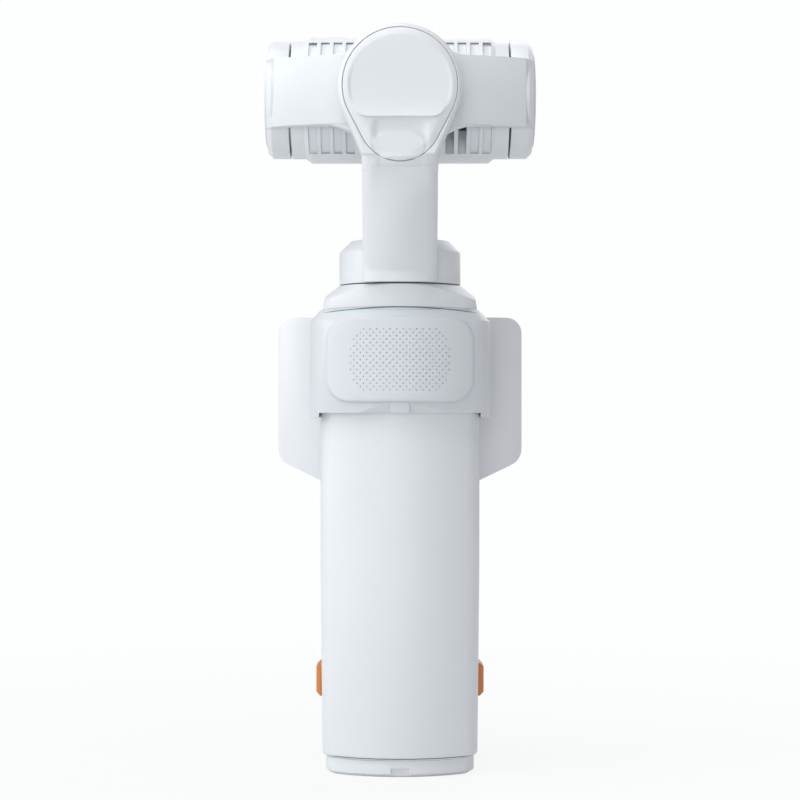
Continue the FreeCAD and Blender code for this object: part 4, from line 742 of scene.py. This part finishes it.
def arm_neck():
    """Two fillets that sweep the arm's sides into the roll housing, past the teardrop cover."""
    vertices, faces = [], []
    for sign in (-1, 1):
        start = len(vertices)
        for step in range(NECK_STEPS + 1):
            z = NECK_FOOT + (NECK_TOP - NECK_FOOT) * step / NECK_STEPS
            end = min(step, NECK_STEPS - step) / 2
            lift = NECK_LIFT - NECK_SINK * (1 - smooth_step(end))
            y = face_at(z) - lift
            vertices += [(sign * x, y + back, z) for x, back in neck_section(z, lift)]
        faces += tube_faces((len(vertices) - start) // (NECK_STEPS + 1), NECK_STEPS + 1, start)
    solid_piece("arm_neck", vertices, faces, WHITE_PLASTIC, "pan_arm", 50)


perforated_cover()
speaker_cloth()
arm_cover()
arm_skin()
arm_neck()

# Baffles in the camera's vent slots

TILT_AXIS = 163.4
VENT_FLOOR = 6.0
VENT_PITCH = 3.0
VENT_OUTER = 20.95
VENT_WIDTH = 1.96
BAFFLE_RADII = (14.5, 14.8, 14.8, 14.8)  # from the outermost slot inwards
BAFFLE_TOP = 12.85
BAFFLE_FOOT = -13.65
BAFFLE_STEPS = 24
FLOOR_GAP = 0.05
OPEN_FOOT = -5.0


def vent_baffles():
    """Pale plates that close the slots just below the barrel's skin, two left open below."""
    vertices, faces = [], []
    back_of_floor = -VENT_FLOOR - FLOOR_GAP
    for index, radius in enumerate(BAFFLE_RADII):
        for sign in (-1, 1):
            middle = sign * (VENT_OUTER - VENT_PITCH * index)
            foot = OPEN_FOOT if sign > 0 and index > 1 else BAFFLE_FOOT
            outline = []
            for i in range(BAFFLE_STEPS + 1):
                z = foot + (BAFFLE_TOP - foot) * i / BAFFLE_STEPS
                outline.append((-max(VENT_FLOOR + 2 * FLOOR_GAP, math.sqrt(radius ** 2 - z ** 2)), z))
            outline += [(back_of_floor, BAFFLE_TOP), (back_of_floor, foot)]
            start = len(vertices)
            for side in (-1, 1):
                for y, z in outline:
                    vertices.append((middle + side * VENT_WIDTH / 2, y, TILT_AXIS + z))
            faces += tube_faces(len(outline), 2, start)
    solid_piece("vent_baffles", vertices, faces, WHITE_PLASTIC, "camera_head", 30)


vent_baffles()

# Webs that sweep the yoke's cross bar into its boss

BAR_HALF = 8.15
BAR_BOW_RADIUS = 65.7
BAR_BOW_SHIFT = 1.1
WEB_BACK = 20.1
WEB_FRONT = 16.6
WEB_START = 10.6
WEB_REACH = 8.0
WEB_RISES = {-1: 2.5, 1: 1.3}  # below and above the bar
WEB_POWER = 1.8
WEB_OVERLAP = 1.2
WEB_STEPS = 14
# How far back each ring of a web lies, and how far its outline is drawn in there
WEB_RINGS = ((WEB_FRONT, 0.0), (WEB_BACK - 0.5, 0.0), (WEB_BACK - 0.14, 0.14), (WEB_BACK, 0.5))


def yoke_webs():
    """Four fillet webs in the corners between the cross bar and the boss."""
    vertices, faces = [], []
    low = BAR_HALF - WEB_OVERLAP
    for across in (-1, 1):
        for up in (-1, 1):
            outline = [(WEB_START, low)]
            for i in range(WEB_STEPS + 1):
                share = i / WEB_STEPS
                rise = WEB_RISES[up] * (1 - share) ** WEB_POWER
                outline.append((WEB_START + WEB_REACH * share, BAR_HALF + rise))
            outline.append((WEB_START + WEB_REACH, low))
            start = len(vertices)
            for depth, inset in WEB_RINGS:
                for x, z in outline:
                    bow = (x / BAR_BOW_RADIUS) ** 2 * BAR_BOW_RADIUS / 2 - BAR_BOW_SHIFT
                    y = -depth + (bow if depth > WEB_FRONT else 0.0)
                    vertices.append((across * x, y, TILT_AXIS + up * (z - inset)))
            faces += tube_faces(len(outline), len(WEB_RINGS), start)
    solid_piece("yoke_webs", vertices, faces, WHITE_PLASTIC, "roll_yoke", 35)


yoke_webs()

# Thin dark tubes laid on the faces beside two joints: painted shade along the seams

SHADE_LINE_THICKNESS = 0.13
SHADE_LINE_SIDES = 8
SHADE_LINE_STEPS = 72
SHADE_LINE_END = 0.25
SHADE_LINE_TAPER = 6
BEHIND = -200.0  # where the rays that find those faces start


def front_of(names, x, z):
    """How far back the CAD's face lies at a place, seen from behind the object."""
    nearest = None
    for name in names:
        node = frame["nodes"][name]
        to_node = node.matrix_world.inverted()
        start = to_node @ Vector((x * MM, BEHIND * MM, z * MM))
        way = (to_node.to_3x3() @ Vector((0, 1, 0))).normalized()
        hit, place, _, _ = node.ray_cast(start, way)
        if hit:
            y = (node.matrix_world @ place).y / MM
            nearest = y if nearest is None else min(nearest, y)
    return nearest


def seam_shade_line(name, names, middle, sag, half):
    """A thin dark tube across the back that drops a little at its ends: painted shade along a seam."""
    middles = []
    for i in range(SHADE_LINE_STEPS + 1):
        x = half * (2 * i / SHADE_LINE_STEPS - 1)
        z = middle - sag * (x / half) ** 2
        y = front_of(names, x, z)
        if y is not None:
            middles.append((x, y, z))
    vertices = []
    for index, (x, y, z) in enumerate(middles):
        taper = min(1.0, SHADE_LINE_END + min(index, len(middles) - 1 - index) / SHADE_LINE_TAPER)
        for side in range(SHADE_LINE_SIDES):
            turn = 2 * math.pi * side / SHADE_LINE_SIDES
            out = SHADE_LINE_THICKNESS * taper
            vertices.append((x, y + out * math.cos(turn), z + out * math.sin(turn)))
    solid_piece(name, vertices, tube_faces(SHADE_LINE_SIDES, len(middles)), SEAM_SHADE_DARK, "handle")


# Painted shade: dark lines along the seam under the collar and the seam above the base cap
seam_shade_line("collar_seam_shade", ("pan_collar", "clip_band", "grip_housing"), 112.25, 1.2, 18.4)
seam_shade_line("base_seam_shade", ("grip_housing", "base_cap"), 4.55, 0.0, 17.6)

# Inside the lenses: stepped rings round a coated inner element, behind the front glass

FACE_FRONT = 14.0
CORE_FLOOR = -2.65
GLASS_BACK = 0.4
CORE_RINGS = 5
CORE_RING_STEP = 0.45
CORE_SIDES = 72
BORE_STEP = 0.1
# Radii as shares of the lens's own
CORE_WALL = 0.98
CORE_MOUTH = 0.93
CORE_NARROWING = 0.09
CORE_LEDGE = 0.07
CORE_BORE = 0.48
ELEMENT_SHARE = 0.47

# The element's dome
ELEMENT_SIDES = 48
ELEMENT_STEPS = 8
ELEMENT_EDGE = 0.3
ELEMENT_RISE = 0.9
ELEMENT_TIP = 0.02


def lens_core(name, x, radius):
    """The rings of one lens and the element on their floor."""
    profile = [(radius * CORE_WALL, CORE_FLOOR), (radius * CORE_WALL, GLASS_BACK),
               (radius * CORE_MOUTH, GLASS_BACK)]
    for i in range(CORE_RINGS):
        inner = radius * (CORE_MOUTH - CORE_NARROWING * i)
        low = GLASS_BACK - CORE_RING_STEP * (i + 1)
        profile += [(inner, low), (inner - radius * CORE_LEDGE, low)]
    profile += [(radius * CORE_BORE, low - BORE_STEP), (radius * CORE_BORE, CORE_FLOOR)]
    vertices, faces = lathe(profile, CORE_SIDES, (x, FACE_FRONT, TILT_AXIS))
    solid_piece(name, vertices, faces, MATERIALS["dark_plastic"], "camera_head", 30)
    rim = radius * ELEMENT_SHARE
    dome = [(rim, CORE_FLOOR + ELEMENT_EDGE)]
    for i in range(ELEMENT_STEPS + 1):
        turn = math.radians(90 * i / ELEMENT_STEPS)
        dome.append((max(rim * math.cos(turn), ELEMENT_TIP),
                     CORE_FLOOR + 2 * ELEMENT_EDGE + ELEMENT_RISE * math.sin(turn)))
    vertices, faces = lathe(dome, ELEMENT_SIDES, (x, FACE_FRONT, TILT_AXIS))
    solid_piece(name + "_element", vertices, faces, COATING, "camera_head")


lens_core("main_lens_core", -9.6, 6.3)
lens_core("second_lens_core", 10.2, 4.1)

# Thumb stick: a dished rubber cap with a raised rim and a notched edge

STICK_AXIS = 58.0
MODULE_FRONT = 21.4
STICK_SIDES = 96
# (radius, reach) from the stem to the middle of the dish
STICK_PROFILE = (
    (1.35, -3.2), (1.35, 0.7), (3.6, 0.7), (4.15, 0.85), (4.38, 1.3), (4.38, 2.2), (4.22, 2.75),
    (3.9, 3.05), (3.55, 3.18), (3.2, 3.1), (2.9, 2.85), (2.2, 2.62), (1.2, 2.52), (0.1, 2.5),
)
NOTCHED_RINGS = (4, 5)
NOTCH_PERIOD = 4
NOTCH_SIDES = 2
NOTCH_SHARE = 0.965


def thumb_stick():
    """The turned cap, with notches pressed into its edge."""
    vertices, faces = lathe(STICK_PROFILE, STICK_SIDES, (0.0, MODULE_FRONT, STICK_AXIS))
    for index, (x, y, z) in enumerate(vertices):
        ring, side = divmod(index, STICK_SIDES)
        if ring in NOTCHED_RINGS and side % NOTCH_PERIOD < NOTCH_SIDES:
            vertices[index] = (x * NOTCH_SHARE, y, STICK_AXIS + (z - STICK_AXIS) * NOTCH_SHARE)
    stick = solid_piece("thumb_stick_cap", vertices, faces, MATERIALS["rubber"], "thumb_stick", 45)
    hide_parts("thumb_stick")


thumb_stick()

# Thread in the tripod socket

THREAD_RADIUS = 3.17
THREAD_DEPTH = 0.42
THREAD_PITCH = 1.27
THREAD_LENGTH = 6.0
THREAD_START = 0.3
THREAD_STEPS = 48  # in one turn
# (in from the thread's radius, up) round the ridge's section
THREAD_SECTION = ((-0.1, -0.25), (THREAD_DEPTH, -0.06), (THREAD_DEPTH, 0.06), (-0.1, 0.25))


def socket_thread():
    """A thread ridge that winds up the brass insert."""
    steps = int(THREAD_LENGTH / THREAD_PITCH * THREAD_STEPS)
    vertices = []
    for i in range(steps + 1):
        turn = 2 * math.pi * i / THREAD_STEPS
        z = THREAD_START + THREAD_PITCH * i / THREAD_STEPS
        for inset, rise in THREAD_SECTION:
            reach = THREAD_RADIUS - inset
            vertices.append((reach * math.cos(turn), reach * math.sin(turn), z + rise))
    faces = tube_faces(len(THREAD_SECTION), steps + 1)
    solid_piece("socket_thread", vertices, faces, MATERIALS["brass"], "handle", 40)


socket_thread()

# Camera: the photograph's height, distance and angle

SENSOR = 36
PHOTO_WIDTH = 800
FOCAL_PIXELS = 2122

camera_data = bpy.data.cameras.new("camera")
camera_data.sensor_width = SENSOR
camera_data.lens = FOCAL_PIXELS / PHOTO_WIDTH * SENSOR
camera_data.clip_start = 0.01
camera = bpy.data.objects.new("camera", camera_data)
camera.location = (0, -0.520, 0.0901)
camera.rotation_euler = (math.radians(90), 0, 0)
bpy.context.scene.collection.objects.link(camera)
bpy.context.scene.camera = camera

# Studio: soft lamps, a pale floor and a white surround

MIDDLE = Vector((0, 0, 0.1))
SKY = (0.985, 1.0, 1.0, 1)
WORLD_COLOUR = (0.99, 0.995, 1.0, 1)
WORLD_STRENGTH = 0.385
FLOOR_COLOUR = (0.66, 0.67, 0.68, 1)
# Near the object the floor keeps a share of its own shading, and with it the shadow.
GLOW_SPAN = (0.03, 0.30)
GLOW_NEAR = 0.88


def lamp(name, place, size, power):
    """A soft lamp that points at the middle of the object."""
    data = bpy.data.lights.new(name, "AREA")
    data.shape = "RECTANGLE"
    data.size, data.size_y = size
    data.energy = power
    light = bpy.data.objects.new(name, data)
    light.location = place
    light.rotation_euler = (MIDDLE - Vector(place)).to_track_quat("-Z", "Y").to_euler()
    bpy.context.scene.collection.objects.link(light)


lamp("key", (-0.85, -0.30, 0.46), (0.5, 0.7), 4.1)
lamp("front", (-0.04, -0.95, 0.08), (0.6, 0.6), 2.8)
lamp("top", (-0.15, -0.24, 0.88), (0.6, 0.6), 3.6)
lamp("back", (0.3, 0.8, 0.5), (0.7, 0.7), 2.6)


def seen_by(tree, kinds):
    """1 for the named kinds of ray, 0 for the rest."""
    path = add(tree, "LightPath")
    value = path.outputs[kinds[0]]
    for kind in kinds[1:]:
        either = add(tree, "Math", operation="MAXIMUM")
        tree.links.new(value, either.inputs[0])
        tree.links.new(path.outputs[kind], either.inputs[1])
        value = either.outputs["Value"]
    return value


def blended(tree, factor, first, second, output):
    """Sends a blend of two shaders to an output."""
    blend = add(tree, "MixShader")
    tree.links.new(factor, blend.inputs["Fac"])
    tree.links.new(first, blend.inputs[1])
    tree.links.new(second, blend.inputs[2])
    tree.links.new(blend.outputs["Shader"], tree.nodes[output].inputs["Surface"])


bpy.ops.mesh.primitive_plane_add(size=8, location=(0, 0, 0))
floor = bpy.context.active_object
floor.name = "floor"
floor_material, tree, shader = new_material("floor")
shader.inputs["Base Color"].default_value = FLOOR_COLOUR
shader.inputs["Roughness"].default_value = 0.6
glow = add(tree, "Emission")
glow.inputs["Color"].default_value = SKY
coords = add(tree, "TexCoord")
distance = add(tree, "VectorMath", operation="LENGTH")
tree.links.new(coords.outputs["Object"], distance.inputs[0])
share = add(tree, "Math", operation="MULTIPLY")
tree.links.new(seen_by(tree, ("Is Camera Ray", "Is Transmission Ray", "Is Glossy Ray")),
               share.inputs[0])
tree.links.new(ranged(tree, distance.outputs["Value"], GLOW_SPAN, GLOW_NEAR, 1.0), share.inputs[1])
blended(tree, share.outputs["Value"], shader.outputs["BSDF"], glow.outputs["Emission"],
        "Material Output")
floor.data.materials.append(floor_material)

world = bpy.data.worlds.new("studio")
bpy.context.scene.world = world
world.use_nodes = True
tree = world.node_tree
background = tree.nodes["Background"]
background.inputs["Color"].default_value = WORLD_COLOUR
background.inputs["Strength"].default_value = WORLD_STRENGTH
plain = tree.nodes.new("ShaderNodeBackground")
plain.inputs["Color"].default_value = SKY
plain.inputs["Strength"].default_value = 1.0
blended(tree, seen_by(tree, ("Is Camera Ray", "Is Transmission Ray")),
        background.outputs["Background"], plain.outputs["Background"], "World Output")

bpy.context.scene.view_settings.view_transform = "Standard"
